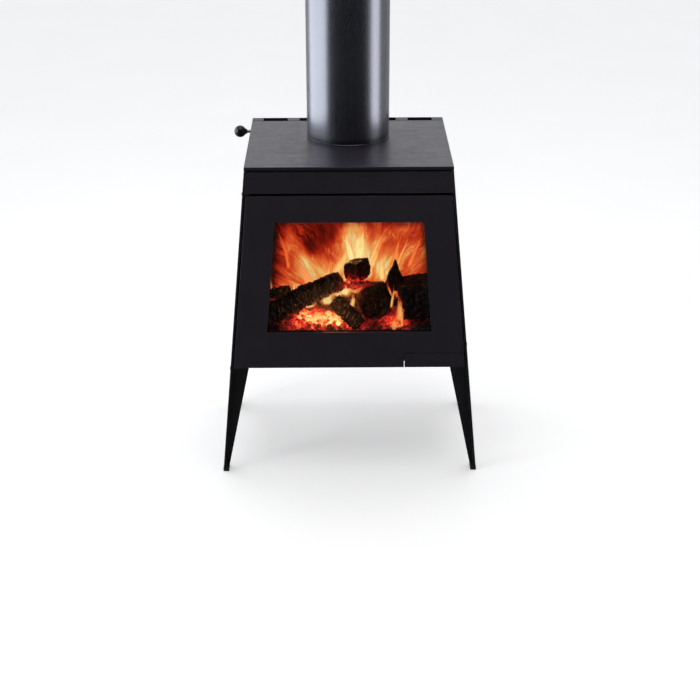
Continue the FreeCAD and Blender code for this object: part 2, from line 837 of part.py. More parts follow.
def make_fascia():
    low, high = "Sizes.fascia_low", "Sizes.fascia_high"
    outline = trapezoid(low, high, inner(low, "Sizes.fascia_gap"), inner(high, "Sizes.fascia_gap"))
    piece(plate("fascia", "XZ_Plane", outline, "Sizes.fascia_thick"))
    arms = []
    size = ("Sizes.foot_width", "Sizes.frame_depth - Sizes.fascia_thick", "Sizes.foot_width")
    for side in SIDES.values():
        across = f"{side} * Sizes.shield_screw_across - Sizes.foot_width / 2"
        corner = (across, "Sizes.fascia_thick", "Sizes.fascia_low + Sizes.foot_width")
        arms.append(box("fascia_bracket", *corner, *size))
    piece(group("fascia_brackets", arms))


# ---------------------------------------------------------------- air control

def make_air_slide():
    """A slotted plate that slides across the inlets, with an ear for the rod at its left end."""
    depth = f"({PLATE_REAR} + Sizes.fit_gap)"
    outline = rectangle("-Sizes.slide_half", "Sizes.slide_half", "Sizes.slide_low", "Sizes.slide_high")
    shifted = inlet_outlines("Sizes.slide_travel")
    at = ("0", depth, "0")
    body = plate("air_slide_plate", "XZ_Plane", outline, "Sizes.slide_thick", at, holes=shifted)
    ear_sides = ("-Sizes.slide_half", "(-Sizes.slide_half + Sizes.slide_thick)")
    ear_ends = ("(Sizes.rod_height - Sizes.ear_half)", "(Sizes.rod_height + Sizes.ear_half)")
    reach = f"(Sizes.rod_depth - {depth} + Sizes.ear_half)"
    add_pad(body, "XZ_Plane", [rectangle(*ear_sides, *ear_ends)], reach)
    piece(body)


def make_slide_guides():
    """Two lipped strips hold the slide against the rear plate."""
    deep = "(Sizes.slide_thick + 2 * Sizes.fit_gap)"
    length = "2 * Sizes.slide_half"
    guides = []
    edges = {-1: "(Sizes.slide_low - Sizes.fit_gap)", 1: "(Sizes.slide_high + Sizes.fit_gap)"}
    at = ("0", PLATE_REAR, "0")
    for side, edge in edges.items():
        section = [
            ("0", edge),
            (deep, edge),
            (deep, f"({edge} - {side} * Sizes.guide_lip)"),
            (f"({deep} + Sizes.shield_thick)", f"({edge} - {side} * Sizes.guide_lip)"),
            (f"({deep} + Sizes.shield_thick)", f"({edge} + {side} * Sizes.guide_lip)"),
            ("0", f"({edge} + {side} * Sizes.guide_lip)"),
        ]
        guides.append(plate("slide_guide", "YZ_Plane", section, length, at, centred=True))
    piece(group("slide_guides", guides))


def make_control_rod():
    start = "(-Sizes.knob_centre - Sizes.knob_radius / 3)"
    length = "(Sizes.knob_centre + Sizes.knob_radius / 3 - Sizes.slide_half)"
    at = (start, "Sizes.rod_depth", "Sizes.rod_height")
    piece(rod("control_rod", "Sizes.rod_radius", length, at, "right"))


def make_control_knob():
    at = ("-Sizes.knob_centre", "Sizes.rod_depth", "Sizes.rod_height")
    ball = doc.addObject("Part::Sphere", "knob_ball")
    ball.Placement = FreeCAD.Placement(FreeCAD.Vector(), TURNS["right"])
    ball.setExpression("Radius", "Sizes.knob_radius")
    place(ball, *at)
    neck = doc.addObject("Part::Cone", "knob_neck")
    neck.Placement = FreeCAD.Placement(FreeCAD.Vector(), TURNS["right"])
    radii = {"Radius1": "Sizes.knob_radius * 0.6", "Radius2": "Sizes.rod_radius * 1.3"}
    bind(neck, {**radii, "Height": "Sizes.knob_radius * 0.5"})
    place(neck, "-Sizes.knob_centre + Sizes.knob_radius * 0.7", *at[1:])
    start = "(-Sizes.knob_centre - Sizes.knob_radius / 3)"
    hole = rod("knob_hole", "Sizes.rod_radius", "3 * Sizes.knob_radius", (start, *at[1:]), "right")
    piece(cut("control_knob", fuse("knob_solid", ball, neck), hole))


def make_rod_bush():
    at = (f"-{outer('Sizes.rod_height')} - Sizes.bush_proud", "Sizes.rod_depth", "Sizes.rod_height")
    bore = "(Sizes.rod_radius + Sizes.rod_clearance)"
    piece(tube("rod_bush", "Sizes.bush_radius", bore, "Sizes.bush_radius", at, "right"))


# ---------------------------------------------------------------- heat shields

def shield_screw_places():
    for side in SIDES.values():
        for height in ("Sizes.shield_screw_low", "Sizes.shield_screw_high"):
            yield f"{side} * Sizes.shield_screw_across", height


def make_rear_shield():
    """A folded sheet behind the stove, open at the bottom, with slots between the tabs at its top."""
    low, high = "Sizes.shield_low", "Sizes.cooktop_height"
    thick = "Sizes.shield_thick"
    back = trapezoid(low, high, outer(low), outer(high))
    at = ("0", f"({SHIELD_REAR} - {thick})", "0")
    holes = [(across, height, "Sizes.screw_radius") for across, height in shield_screw_places()]
    back_sheet = plate("shield_back", "XZ_Plane", back, thick, at, circles=holes)

    spans = [(f"({outer(height)} - {thick})", outer(height)) for height in (low, high)]
    depths = (PLATE_REAR, f"({SHIELD_REAR} - {thick} / 2)")
    flanges = [leaning_block("shield_flange", side, spans, depths, (low, high)) for side in SIDES.values()]

    tabs = []
    start = "-Sizes.top_width / 2"
    for width in ("end_tab", "inner_tab", "inner_tab", "inner_tab", "inner_tab", "end_tab"):
        size = (f"Sizes.{width}", f"Sizes.channel_depth - Sizes.tab_gap - {thick} / 2", thick)
        corner = (start, f"{PLATE_REAR} + Sizes.tab_gap", f"Sizes.cooktop_height - {thick}")
        tabs.append(box("shield_tab", *corner, *size))
        start = f"{start} + Sizes.{width} + Sizes.slot_width"

    folded = fuse("shield_folded", back_sheet, *flanges, *tabs)
    hole = ("-Sizes.top_width", "Sizes.rod_depth", "Sizes.rod_height")
    drill = rod("shield_rod_hole", "Sizes.bush_radius", "Sizes.top_width", hole, "right")
    piece(cut("rear_heat_shield", folded, drill))


def make_shield_fixings():
    spacers, screws = [], []
    gap = "(Sizes.channel_depth - Sizes.shield_thick)"
    for across, height in shield_screw_places():
        at = (across, PLATE_REAR, height)
        radii = ("Sizes.screw_head_radius", "Sizes.screw_radius")
        spacers.append(tube("shield_spacer", *radii, gap, at, "rear"))
        shank = rod("screw_shank", "Sizes.screw_radius", "Sizes.channel_depth", at, "rear")
        head_at = (across, SHIELD_REAR, height)
        head = hexagon("screw_head", "Sizes.screw_head_radius", "Sizes.screw_head", head_at, "rear")
        screws.append(fuse("shield_screw", shank, head))
    piece(group("rear_shield_spacers", spacers))
    piece(group("rear_shield_screws", screws))


def make_belly_shield():
    """A flat sheet hangs under the firebox floor on four posts."""
    size = ("2 * Sizes.belly_half", "Sizes.belly_rear - Sizes.belly_front", "Sizes.shield_thick")
    piece(box("bottom_heat_shield", "-Sizes.belly_half", "Sizes.belly_front", "Sizes.belly_low", *size))
    posts = []
    low = "(Sizes.belly_low + Sizes.shield_thick)"
    length = f"Sizes.floor_height - Sizes.plate_thick - {low}"
    for side in SIDES.values():
        for depth in (
            "(Sizes.belly_front + Sizes.belly_post_inset)",
            "(Sizes.belly_rear - Sizes.belly_post_inset)",
        ):
            at = (f"{side} * Sizes.shield_screw_across", depth, low)
            posts.append(rod("belly_post", "Sizes.screw_head_radius", length, at))
    piece(group("bottom_shield_posts", posts))


# ---------------------------------------------------------------- hinges

def make_hinge_brackets():
    """Two ledges welded to the frame; each shows a tab through the left side plate."""
    brackets = []
    thick = "Sizes.bracket_thick"
    end = "(Sizes.tab_start + Sizes.tab_length)"
    bore_low = f"(Sizes.door_low - 3 * {thick})"
    bore = leaning_rod("bracket_bore", "Sizes.pin_radius", "Sizes.cooktop_height - Sizes.door_low", bore_low)
    for height in HINGE_HEIGHTS:
        upper = f"({height} + {thick})"
        outside = f"-({outer(upper)} + Sizes.tab_proud)"
        wall = f"-{inner(upper)}"
        inside = f"-({pin_across(height)} - Sizes.pin_boss)"
        outline = [
            (outside, "Sizes.tab_start"),
            (inside, "Sizes.tab_start"),
            (inside, "Sizes.frame_depth"),
            (wall, "Sizes.frame_depth"),
            (wall, end),
            (outside, end),
        ]
        blank = plate("bracket_blank", "XY_Plane", outline, thick, ("0", "0", height))
        brackets.append(cut("hinge_bracket", blank, bore))
    piece(group("hinge_brackets", brackets))


def make_hinge_pins():
    length = "(Sizes.sleeve_length * 0.75)"
    upper = f"(Sizes.door_high - {length} + Sizes.bracket_thick)"
    starts = (HINGE_HEIGHTS[1], upper)
    pins = [leaning_rod("hinge_pin", "Sizes.pin_radius", length, start) for start in starts]
    piece(group("hinge_pins", pins))


def make_hinge_sleeves():
    sleeves = []
    bore = "(Sizes.pin_radius + Sizes.pin_clearance)"
    for start in SLEEVE_STARTS:
        solid = leaning_rod("sleeve_solid", "Sizes.sleeve_radius", "Sizes.sleeve_length", start)
        hollow = leaning_rod("sleeve_bore", bore, "Sizes.sleeve_length", start)
        sleeves.append(cut("hinge_sleeve", solid, hollow))
    piece(group("hinge_sleeves", sleeves))


# ---------------------------------------------------------------- door

def make_door_plate():
    """The door's face: a window, a notch for the handle and two sockets for the hinge sleeves."""
    low, high = "Sizes.door_low", "Sizes.door_high"
    notch_left = "(Sizes.handle_left - Sizes.handle_gap)"
    notch_high = "(Sizes.handle_high + Sizes.handle_gap)"
    outline = [
        (f"-{door_edge(low)}", low),
        (notch_left, low),
        (notch_left, notch_high),
        (door_edge(notch_high), notch_high),
        (door_edge(high), high),
        (f"-{door_edge(high)}", high),
    ]
    body = plate("door_blank", "XZ_Plane", outline, "Sizes.door_thick", holes=[window_outline("0")])
    limit = 1 - number(door_edge(high))

    def front_left(edge):
        return flat_at(edge, "y", 0) and all(vertex.Point.x < limit for vertex in edge.Vertexes)

    soften(body, "PartDesign::Fillet", "Radius", "Sizes.door_edge_radius", front_left)
    length = "(Sizes.sleeve_length + 3)"
    sockets = [
        leaning_rod("sleeve_socket", "Sizes.sleeve_radius", length, start)
        for start in ("(Sizes.door_low - 1)", SLEEVE_STARTS[1])
    ]
    piece(cut("door_plate", body, group("sleeve_sockets", sockets)))


def ring(name, inside, outside, thickness, depth):
    """A frame that follows the window's outline, between two offsets from it."""
    at = ("0", depth, "0")
    return plate(name, "XZ_Plane", window_outline(outside), thickness, at, holes=[window_outline(inside)])


def make_glazing():
    lap = "Sizes.glass_lap"
    inside = f"({lap} - Sizes.gasket_width)"
    piece(ring("glass_gasket", inside, lap, "Sizes.gasket_thick", "Sizes.door_thick"))
    at = ("0", GLASS_FRONT, "0")
    piece(plate("door_glass", "XZ_Plane", window_outline(lap), "Sizes.glass_thick", at))


def clip_places():
    """Three clips along the top and bottom of the glass and one at the middle of each side."""
    below = "(Sizes.window_low - Sizes.stud_offset)"
    above = "(Sizes.window_high + Sizes.stud_offset)"
    middle = "((Sizes.window_low + Sizes.window_high) / 2)"
    for across in ("-Sizes.clip_pitch", "0", "Sizes.clip_pitch"):
        yield across, below, "upright"
        yield across, above, "upright"
    for side in SIDES.values():
        yield f"{side} * {window_half(middle, 'Sizes.stud_offset')}", middle, "level"


def make_glass_fixings():
    """A welded stud, a clip that bears on the glass and a nut at each place."""
    studs, clips, nuts = [], [], []
    tall = "(2 * (Sizes.stud_offset - Sizes.clip_margin))"
    stud_length = f"{GLASS_REAR} + Sizes.clip_thick + Sizes.stud_end - Sizes.door_thick"
    hole_radius = "(Sizes.stud_radius + Sizes.clip_clearance)"
    for across, height, lie in clip_places():
        wide, high = ("Sizes.clip_width", tall) if lie == "upright" else (tall, "Sizes.clip_width")
        corner = (f"{across} - {wide} / 2", GLASS_REAR, f"{height} - {high} / 2")
        blank = box("clip_blank", *corner, wide, "Sizes.clip_thick", high)
        hole = rod("clip_hole", hole_radius, "Sizes.clip_thick", (across, GLASS_REAR, height), "rear")
        clips.append(cut("glass_clip", blank, hole))
        stud_at = (across, "Sizes.door_thick", height)
        studs.append(rod("glass_stud", "Sizes.stud_radius", stud_length, stud_at, "rear"))
        nut_at = (across, f"({GLASS_REAR} + Sizes.clip_thick)", height)
        solid = hexagon("nut_solid", "(2 * Sizes.stud_radius)", "Sizes.nut_thick", nut_at, "rear")
        bore = rod("nut_bore", "Sizes.stud_radius", "Sizes.nut_thick", nut_at, "rear")
        nuts.append(cut("glass_nut", solid, bore))
    piece(group("glass_studs", studs))
    piece(group("glass_clips", clips))
    piece(group("glass_nuts", nuts))


def make_rope_channel():
    """A welded channel round the window holds the rope seal against the front frame."""
    start, wall = "Sizes.channel_start", "Sizes.channel_wall"
    groove = f"({start} + {wall})"
    groove_end = f"({groove} + Sizes.channel_groove)"
    finish = f"({groove_end} + {wall})"
    deep = "(Sizes.channel_rear - Sizes.door_thick)"
    solid = ring("channel_solid", start, finish, deep, "Sizes.door_thick")
    hollow = ring("channel_groove_space", groove, groove_end, deep, "Sizes.channel_back")
    piece(cut("rope_channel", solid, hollow))
    rope_deep = "(Sizes.rope_rear - Sizes.channel_back)"
    rope = ring("door_rope_seal", groove, groove_end, rope_deep, "Sizes.channel_back")
    rear_face = number("Sizes.rope_rear - Sizes.channel_back")
    soften(rope, "PartDesign::Fillet", "Radius", "Sizes.rope_radius", level_edges("y", rear_face))
    piece(rope)


# ---------------------------------------------------------------- handle and latch

def make_handle_bar():
    """A flat lever that fills the notch in the door's lower corner."""
    low, high = "Sizes.door_low", "Sizes.handle_high"
    outline = [
        ("Sizes.handle_left", low),
        (door_edge(low), low),
        (door_edge(high), high),
        ("Sizes.handle_left", high),
    ]
    body = plate("handle_bar", "XZ_Plane", outline, "Sizes.handle_thick")
    limit = number(door_edge(high)) - 1

    def front_right(edge):
        return flat_at(edge, "y", 0) and all(vertex.Point.x > limit for vertex in edge.Vertexes)

    soften(body, "PartDesign::Fillet", "Radius", "Sizes.handle_edge_radius", front_right)
    piece(body)


def make_handle_shaft():
    length = "Sizes.shaft_high - Sizes.door_low - 1"
    at = ("Sizes.shaft_across", "Sizes.shaft_depth", "Sizes.door_low + 1")
    piece(rod("handle_shaft", "Sizes.shaft_radius", length, at))


def make_handle_bearings():
    """Two blocks on the back of the door carry the shaft above and below the latch tongue."""
    blocks = []
    bore = "(Sizes.shaft_radius + Sizes.pin_clearance)"
    deep = "(Sizes.shaft_depth + Sizes.shaft_radius + 3 - Sizes.door_thick)"
    for low in ("(Sizes.tongue_low - 1 - Sizes.bearing_thick)", "(Sizes.tongue_high + 1)"):
        corner = ("Sizes.shaft_across - Sizes.bearing_width / 2", "Sizes.door_thick", low)
        solid = box("bearing_solid", *corner, "Sizes.bearing_width", deep, "Sizes.bearing_thick")
        at = ("Sizes.shaft_across", "Sizes.shaft_depth", low)
        blocks.append(cut("handle_bearing", solid, rod("bearing_bore", bore, "Sizes.bearing_thick", at)))
    piece(group("handle_bearings", blocks))


def make_latch_tongue():
    """An arm on the back of the shaft whose nose points at the keeper."""
    x, y = "Sizes.shaft_across", "Sizes.shaft_depth"
    outline = [
        (f"({x} - 7)", f"({y} - 1)"),
        (f"({x} + 6)", f"({y} - 1)"),
        (f"({x} + 6)", f"({y} + 2.5)"),
        (f"({x} + Sizes.tongue_reach)", f"({y} + 2.5)"),
        (f"({x} + Sizes.tongue_reach)", f"({y} + 6.5)"),
        (f"({x} - 7)", f"({y} + 7)"),
    ]
    at = ("0", "0", "Sizes.tongue_low")
    high = "(Sizes.tongue_high - Sizes.tongue_low)"
    blank = plate("tongue_blank", "XY_Plane", outline, high, at)
    bore = rod("tongue_bore", "Sizes.shaft_radius", high, (x, y, "Sizes.tongue_low"))
    piece(cut("latch_tongue", blank, bore))


def make_latch_keeper():
    """A block on the right side plate, in front of the tongue's nose, with a tab through the plate."""
    low, high = "Sizes.tongue_low", "Sizes.tongue_high"
    near = f"({inner(low)} - Sizes.keeper_reach)"
    far = f"({outer(high)} + Sizes.tab_proud)"
    size = (f"{far} - {near}", "Sizes.keeper_length", f"{high} - {low}")
    piece(box("latch_keeper", near, "Sizes.keeper_start", low, *size))


# ---------------------------------------------------------------- fuel

# Each log's end points, as across, depth and height in mm, and its diameter.
LOGS = {
    "log_front_left": ((-190, 92, 388), (-29, 167, 439), 52),
    "log_crosswise": ((14, 178, 463), (40, 216, 463), 42),
    "log_front_short": ((-30, 129, 401), (18, 97, 368), 38),
    "log_round": ((69, 127, 396), (73, 187, 396), 88),
    "log_right": ((180, 112, 402), (177, 208, 402), 96),
    "log_right_upper": ((110, 165, 464), (114, 205, 458), 56),
    "log_rear_left": ((-196, 185, 400), (-150, 215, 398), 30),
}


def make_logs():
    front = number(FRONT)
    for label, (start, end, diameter) in LOGS.items():
        first, last = FreeCAD.Vector(*start), FreeCAD.Vector(*end)
        log = doc.addObject("Part::Cylinder", label)
        log.Radius = diameter / 2
        log.Height = (last - first).Length
        turn = FreeCAD.Rotation(FreeCAD.Vector(0, 0, 1), last - first)
        log.Placement = FreeCAD.Placement(first + FreeCAD.Vector(0, front, 0), turn)
        piece(log)


def make_ember_bed():
    """A low heap of embers with sloping sides, on the floor bricks."""
    heights = (BRICK_TOP, f"({BRICK_TOP} + Sizes.ember_height)")
    heap = doc.addObject("Part::Wedge", "ember_bed")
    heap.Placement = FreeCAD.Placement(FreeCAD.Vector(), TURNS["front"])
    slope = "2 * Sizes.ember_height"
    limits = {
        "Ymin": heights[0],
        "Ymax": heights[1],
        "Xmin": "-Sizes.ember_half",
        "Xmax": "Sizes.ember_half",
        "X2min": f"-Sizes.ember_half + {slope}",
        "X2max": f"Sizes.ember_half - {slope}",
        "Zmin": "-Sizes.ember_rear",
        "Zmax": "-Sizes.ember_front - Sizes.retainer_thick",
        "Z2min": f"-Sizes.ember_rear + {slope}",
        "Z2max": f"-Sizes.ember_front - {slope}",
    }
    piece(place(bind(heap, limits)))


# ---------------------------------------------------------------- build, check and write

def build():
    make_top_plate()
    make_flue()
    make_flue_spacers()
    make_side_plates()
    make_front_frame()
    make_rear_plate()
    make_feet()
    make_firebox_floor()
    make_floor_bricks()
    for label, side in SIDES.items():
        make_side_bricks(label, side)
    make_rear_bricks()
    make_air_rails()
    make_air_tubes()
    make_baffle()
    make_log_retainer()
    make_airwash()
    make_air_ducts()
    make_rear_air_box()
    make_fascia()
    make_air_slide()
    make_slide_guides()
    make_control_rod()
    make_control_knob()
    make_rod_bush()
    make_rear_shield()
    make_shield_fixings()
    make_belly_shield()
    make_hinge_brackets()
    make_hinge_pins()
    make_hinge_sleeves()
    make_door_plate()
    make_glazing()
    make_glass_fixings()
    make_rope_channel()
    make_handle_bar()
    make_handle_shaft()
    make_handle_bearings()
    make_latch_tongue()
    make_latch_keeper()
    make_logs()
    make_ember_bed()


def check():
    doc.recompute()
    for thing in doc.Objects:
        if {"Invalid", "Error"} & set(thing.State):
            raise ValueError(f"{thing.Label} did not compute")
    for thing in pieces:
        if thing.Shape.isNull() or not thing.Shape.isValid():
            raise ValueError(f"{thing.Label} has no valid shape")


def write():
    os.makedirs("parts", exist_ok=True)
    for thing in pieces:
        thing.Shape.exportStep(f"parts/{thing.Label}.step")
        print(f"{thing.Label}: {len(thing.Shape.Solids)} solids, {thing.Shape.Volume / 1000:.1f} cm3")


build()
check()
write()
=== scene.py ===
import math
import random

import bpy
import numpy as np
from mathutils import Matrix, Vector, noise


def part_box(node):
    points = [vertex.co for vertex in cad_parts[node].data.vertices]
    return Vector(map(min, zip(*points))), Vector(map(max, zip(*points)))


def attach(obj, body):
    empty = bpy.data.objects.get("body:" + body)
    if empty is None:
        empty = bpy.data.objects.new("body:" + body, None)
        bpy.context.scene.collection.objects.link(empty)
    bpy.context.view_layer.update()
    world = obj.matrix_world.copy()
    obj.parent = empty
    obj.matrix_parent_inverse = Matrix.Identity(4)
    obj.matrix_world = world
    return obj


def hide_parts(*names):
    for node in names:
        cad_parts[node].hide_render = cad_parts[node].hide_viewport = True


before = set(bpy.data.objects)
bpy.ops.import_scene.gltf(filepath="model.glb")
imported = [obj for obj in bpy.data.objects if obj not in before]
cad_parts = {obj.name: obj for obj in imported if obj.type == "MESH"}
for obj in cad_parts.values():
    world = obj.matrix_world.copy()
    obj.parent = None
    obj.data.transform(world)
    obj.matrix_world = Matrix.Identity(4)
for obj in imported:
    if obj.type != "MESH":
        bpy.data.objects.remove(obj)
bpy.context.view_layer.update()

# A wood burning stove with a fire in it. Metres, in the row frame: +X is to the right of someone facing the
# door, and the door faces -Y. Places inside the firebox are written as millimetres across, behind the door's
# face and above the floor, and place() turns them into the frame.

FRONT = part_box("door_plate")[0].y
MM = 0.001


def place(across, depth, height):
    return Vector((across * MM, FRONT + depth * MM, height * MM))


def smooth_step(low, high, value):
    t = np.clip((np.asarray(value, float) - low) / (high - low), 0, 1)
    return t * t * (3 - 2 * t)


def half_widths(node):
    """A leaning outline's half-widths at its lowest and highest points."""
    corners = [vertex.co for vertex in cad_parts[node].data.vertices]
    low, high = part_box(node)[0].z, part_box(node)[1].z
    at_low = max(corner.x for corner in corners if corner.z < low + 0.0005)
    at_high = max(corner.x for corner in corners if corner.z > high - 0.0005)
    return at_low, at_high


# ---------------------------------------------------------------- shader nodes

class Shader:
    """One material's nodes, fed from left to right."""

    def __init__(self, name):
        self.material = bpy.data.materials.new(name)
        self.material.use_nodes = True
        self.tree = self.material.node_tree
        self.tree.nodes.clear()

    def add(self, kind, inputs=None, **settings):
        node = self.tree.nodes.new(kind)
        for key, value in settings.items():
            setattr(node, key, value)
        for key, value in (inputs or {}).items():
            self.feed(node.inputs[key], value)
        return node

    def feed(self, socket, value):
        if isinstance(value, bpy.types.NodeSocket):
            self.tree.links.new(value, socket)
        else:
            socket.default_value = value

    def math(self, operation, a, b=0.5, clamp=False):
        return self.add("ShaderNodeMath", {0: a, 1: b}, operation=operation, use_clamp=clamp).outputs[0]

    def places(self, scale=(1, 1, 1)):
        """Object coordinates, scaled."""
        source = self.add("ShaderNodeTexCoord").outputs["Object"]
        return self.add("ShaderNodeMapping", {"Vector": source, "Scale": scale}).outputs[0]

    def attribute(self, name):
        return self.add("ShaderNodeAttribute", attribute_name=name).outputs["Fac"]

    def noise(self, vector, scale, detail=4, rough=0.55, distortion=0):
        inputs = {"Vector": vector, "Scale": scale, "Detail": detail, "Roughness": rough, "Distortion": distortion}
        return self.add("ShaderNodeTexNoise", inputs).outputs[0]

    def cells(self, vector, scale):
        """How far each point is from its cell's centre."""
        return self.add("ShaderNodeTexVoronoi", {"Vector": vector, "Scale": scale}).outputs["Distance"]

    def spread(self, value, low, high, to_low=0, to_high=1, smooth=False):
        """Maps a range of values to another, and holds it at the ends."""
        inputs = {0: value, 1: low, 2: high, 3: to_low, 4: to_high}
        kind = "SMOOTHSTEP" if smooth else "LINEAR"
        return self.add("ShaderNodeMapRange", inputs, clamp=True, interpolation_type=kind).outputs[0]

    def ramp(self, value, *stops):
        node = self.add("ShaderNodeValToRGB", {0: value})
        elements = node.color_ramp.elements
        elements.remove(elements[1])
        elements[0].position = stops[0][0]
        elements[0].color = (*stops[0][1], 1)
        for position, colour in stops[1:]:
            elements.new(position).color = (*colour, 1)
        return node.outputs[0]

    def mix(self, share, a, b):
        node = self.add("ShaderNodeMix", data_type="RGBA")
        for index, value in ((0, share), (6, a), (7, b)):
            if isinstance(value, tuple) and len(value) == 3:
                value = (*value, 1)
            self.feed(node.inputs[index], value)
        return node.outputs[2]

    def bump(self, height, distance, strength=1.0, under=None):
        inputs = {"Height": height, "Distance": distance, "Strength": strength}
        if under is not None:
            inputs["Normal"] = under
        return self.add("ShaderNodeBump", inputs).outputs[0]

    def edges(self, radius):
        """0 on flat faces and up to 1 along edges that stand out."""
        rounded = self.add("ShaderNodeBevel", {"Radius": radius}, samples=4).outputs[0]
        flat = self.add("ShaderNodeNewGeometry").outputs["Normal"]
        dot = self.add("ShaderNodeVectorMath", {0: rounded, 1: flat}, operation="DOT_PRODUCT").outputs["Value"]
        return self.spread(dot, 0.995, 0.80)

    def principled(self, **inputs):
        named = {key.replace("_", " "): value for key, value in inputs.items()}
        for key in ("Base Color", "Emission Color"):
            if isinstance(named.get(key), tuple) and len(named[key]) == 3:
                named[key] = (*named[key], 1)
        return self.add("ShaderNodeBsdfPrincipled", named).outputs[0]

    def finish(self, surface):
        self.add("ShaderNodeOutputMaterial", {"Surface": surface})
        return self.material


def grey(level, tint=(1, 1, 1)):
    return tuple(level * part for part in tint)


# ---------------------------------------------------------------- finishes

PAINT_TINT = (1.03, 0.89, 1.24)
CASING_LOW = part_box("flue_casing")[0].z


def satin_paint(name, level, rough, gloss=0.5, streaks=0.0, wear=0.5, rounding=0.0, tint=(1, 1, 1)):
    """High temperature paint over steel: fine grain, handling marks and thin wear along edges."""
    s = Shader(name)
    everywhere = s.places()
    broad = s.noise(everywhere, 7, detail=5, rough=0.6)
    marks = s.noise(s.places((1, 1, 0.35)), 38, detail=6, rough=0.68, distortion=0.6)
    grain = s.noise(everywhere, 1300, detail=2)
    tone = s.math("ADD", s.math("MULTIPLY", broad, 0.5), s.math("MULTIPLY", grain, 0.5))
    if streaks:
        lines = s.math("SUBTRACT", s.noise(s.places((5, 120, 5)), 1, detail=6, rough=0.7), 0.5)
        tone = s.math("ADD", tone, s.math("MULTIPLY", lines, streaks))
    dark, light = grey(level * 0.72, PAINT_TINT), grey(level * 1.28, PAINT_TINT)
    colour = s.ramp(tone, (0.28, dark), (0.72, light))
    dust = s.spread(marks, 0.58, 0.85)
    colour = s.mix(s.math("MULTIPLY", dust, 0.10), colour, grey(level * 3.2, (1, 1, 1.05)))
    chipped = s.math("MULTIPLY", s.edges(0.0009), s.spread(s.noise(everywhere, 110, detail=3), 0.42, 0.66))
    chipped = s.math("MULTIPLY", chipped, wear)
    colour = s.mix(chipped, colour, (0.17, 0.165, 0.175))
    roughness = s.spread(marks, 0.25, 0.8, rough - 0.05, rough + 0.09)
    if streaks:
        roughness = s.math("ADD", roughness, s.math("MULTIPLY", lines, 0.35 * streaks))
        # Painted shade: faces that don't face up, such as the top plate's front edge, are painted near black and
        # made rougher.
        upright = s.add("ShaderNodeSeparateXYZ", {0: s.add("ShaderNodeNewGeometry").outputs["Normal"]})
        shaded = s.spread(s.math("ABSOLUTE", upright.outputs["Z"]), 0.5, 0.8, 0.75, 0.0)
        colour = s.mix(shaded, colour, (0.002, 0.002, 0.003))
        roughness = s.math("ADD", roughness, s.math("MULTIPLY", shaded, 0.4), clamp=True)
    rounded = s.add("ShaderNodeBevel", {"Radius": rounding}, samples=6).outputs[0] if rounding else None
    peel = s.bump(s.noise(everywhere, 420, detail=3, rough=0.6), 0.00012, 0.6, rounded)
    normal = s.bump(grain, 0.00005, 0.5, peel)
    shader = s.principled(Base_Color=colour, Roughness=roughness, Normal=normal, Specular_IOR_Level=gloss,
                          Specular_Tint=(*tint, 1))
    return s.finish(shader)


def metallic_paint():
    """The casing's satin metallic coat, with the faint lines of rolled sheet down its length."""
    s = Shader("casing_paint")
    everywhere = s.places()
    rolled = s.noise(s.places((1, 1, 0.012)), 260, detail=4, rough=0.6)
    cloud = s.noise(everywhere, 6, detail=5, rough=0.6)
    flakes = s.cells(everywhere, 1600)
    tone = s.math("ADD", s.math("MULTIPLY", rolled, 0.45), s.math("MULTIPLY", cloud, 0.55))
    colour = s.ramp(tone, (0.3, (0.125, 0.130, 0.155)), (0.7, (0.165, 0.170, 0.195)))
    colour = s.mix(s.spread(flakes, 0.2, 0.7, 0.0, 0.06), colour, (0.5, 0.52, 0.58))
    # Painted shade: the casing is painted near black over its lowest 22 mm, darkest at its foot.
    base_shade = s.add("ShaderNodeSeparateXYZ", {0: everywhere}).outputs["Z"]
    base_shade = s.spread(base_shade, CASING_LOW + 0.004, CASING_LOW + 0.022, 0.75, 0.0, smooth=True)
    colour = s.mix(base_shade, colour, (0.02, 0.02, 0.025))
    roughness = s.spread(tone, 0.25, 0.75, 0.24, 0.32)
    normal = s.bump(rolled, 0.00005, 0.25, s.bump(flakes, 0.00002, 0.3))
    chipped = s.math("MULTIPLY", s.edges(0.0008), 0.5)
    colour = s.mix(chipped, colour, (0.35, 0.35, 0.37))
    shader = s.principled(Base_Color=colour, Metallic=0.9, Roughness=roughness, Normal=normal)
    return s.finish(shader)


def bare_metal(name, dark, light, rough, tinted=False):
    """Plain or stainless steel with fine drawing lines, and heat colours if tinted."""
    s = Shader(name)
    everywhere = s.places()
    drawn = s.noise(s.places((1, 1, 0.03)), 700, detail=3, rough=0.6)
    cloud = s.noise(everywhere, 24, detail=5, rough=0.65)
    tone = s.math("ADD", s.math("MULTIPLY", drawn, 0.5), s.math("MULTIPLY", cloud, 0.5))
    colour = s.ramp(tone, (0.3, dark), (0.7, light))
    if tinted:
        heat = s.noise(everywhere, 5, detail=3)
        hues = s.ramp(heat, (0.35, (0.45, 0.40, 0.36)), (0.5, (0.42, 0.31, 0.20)), (0.62, (0.26, 0.24, 0.36)))
        colour = s.mix(0.55, colour, hues)
    roughness = s.spread(cloud, 0.3, 0.75, rough - 0.06, rough + 0.12)
    normal = s.bump(drawn, 0.00004, 0.4)
    shader = s.principled(Base_Color=colour, Metallic=1.0, Roughness=roughness, Normal=normal)
    return s.finish(shader)


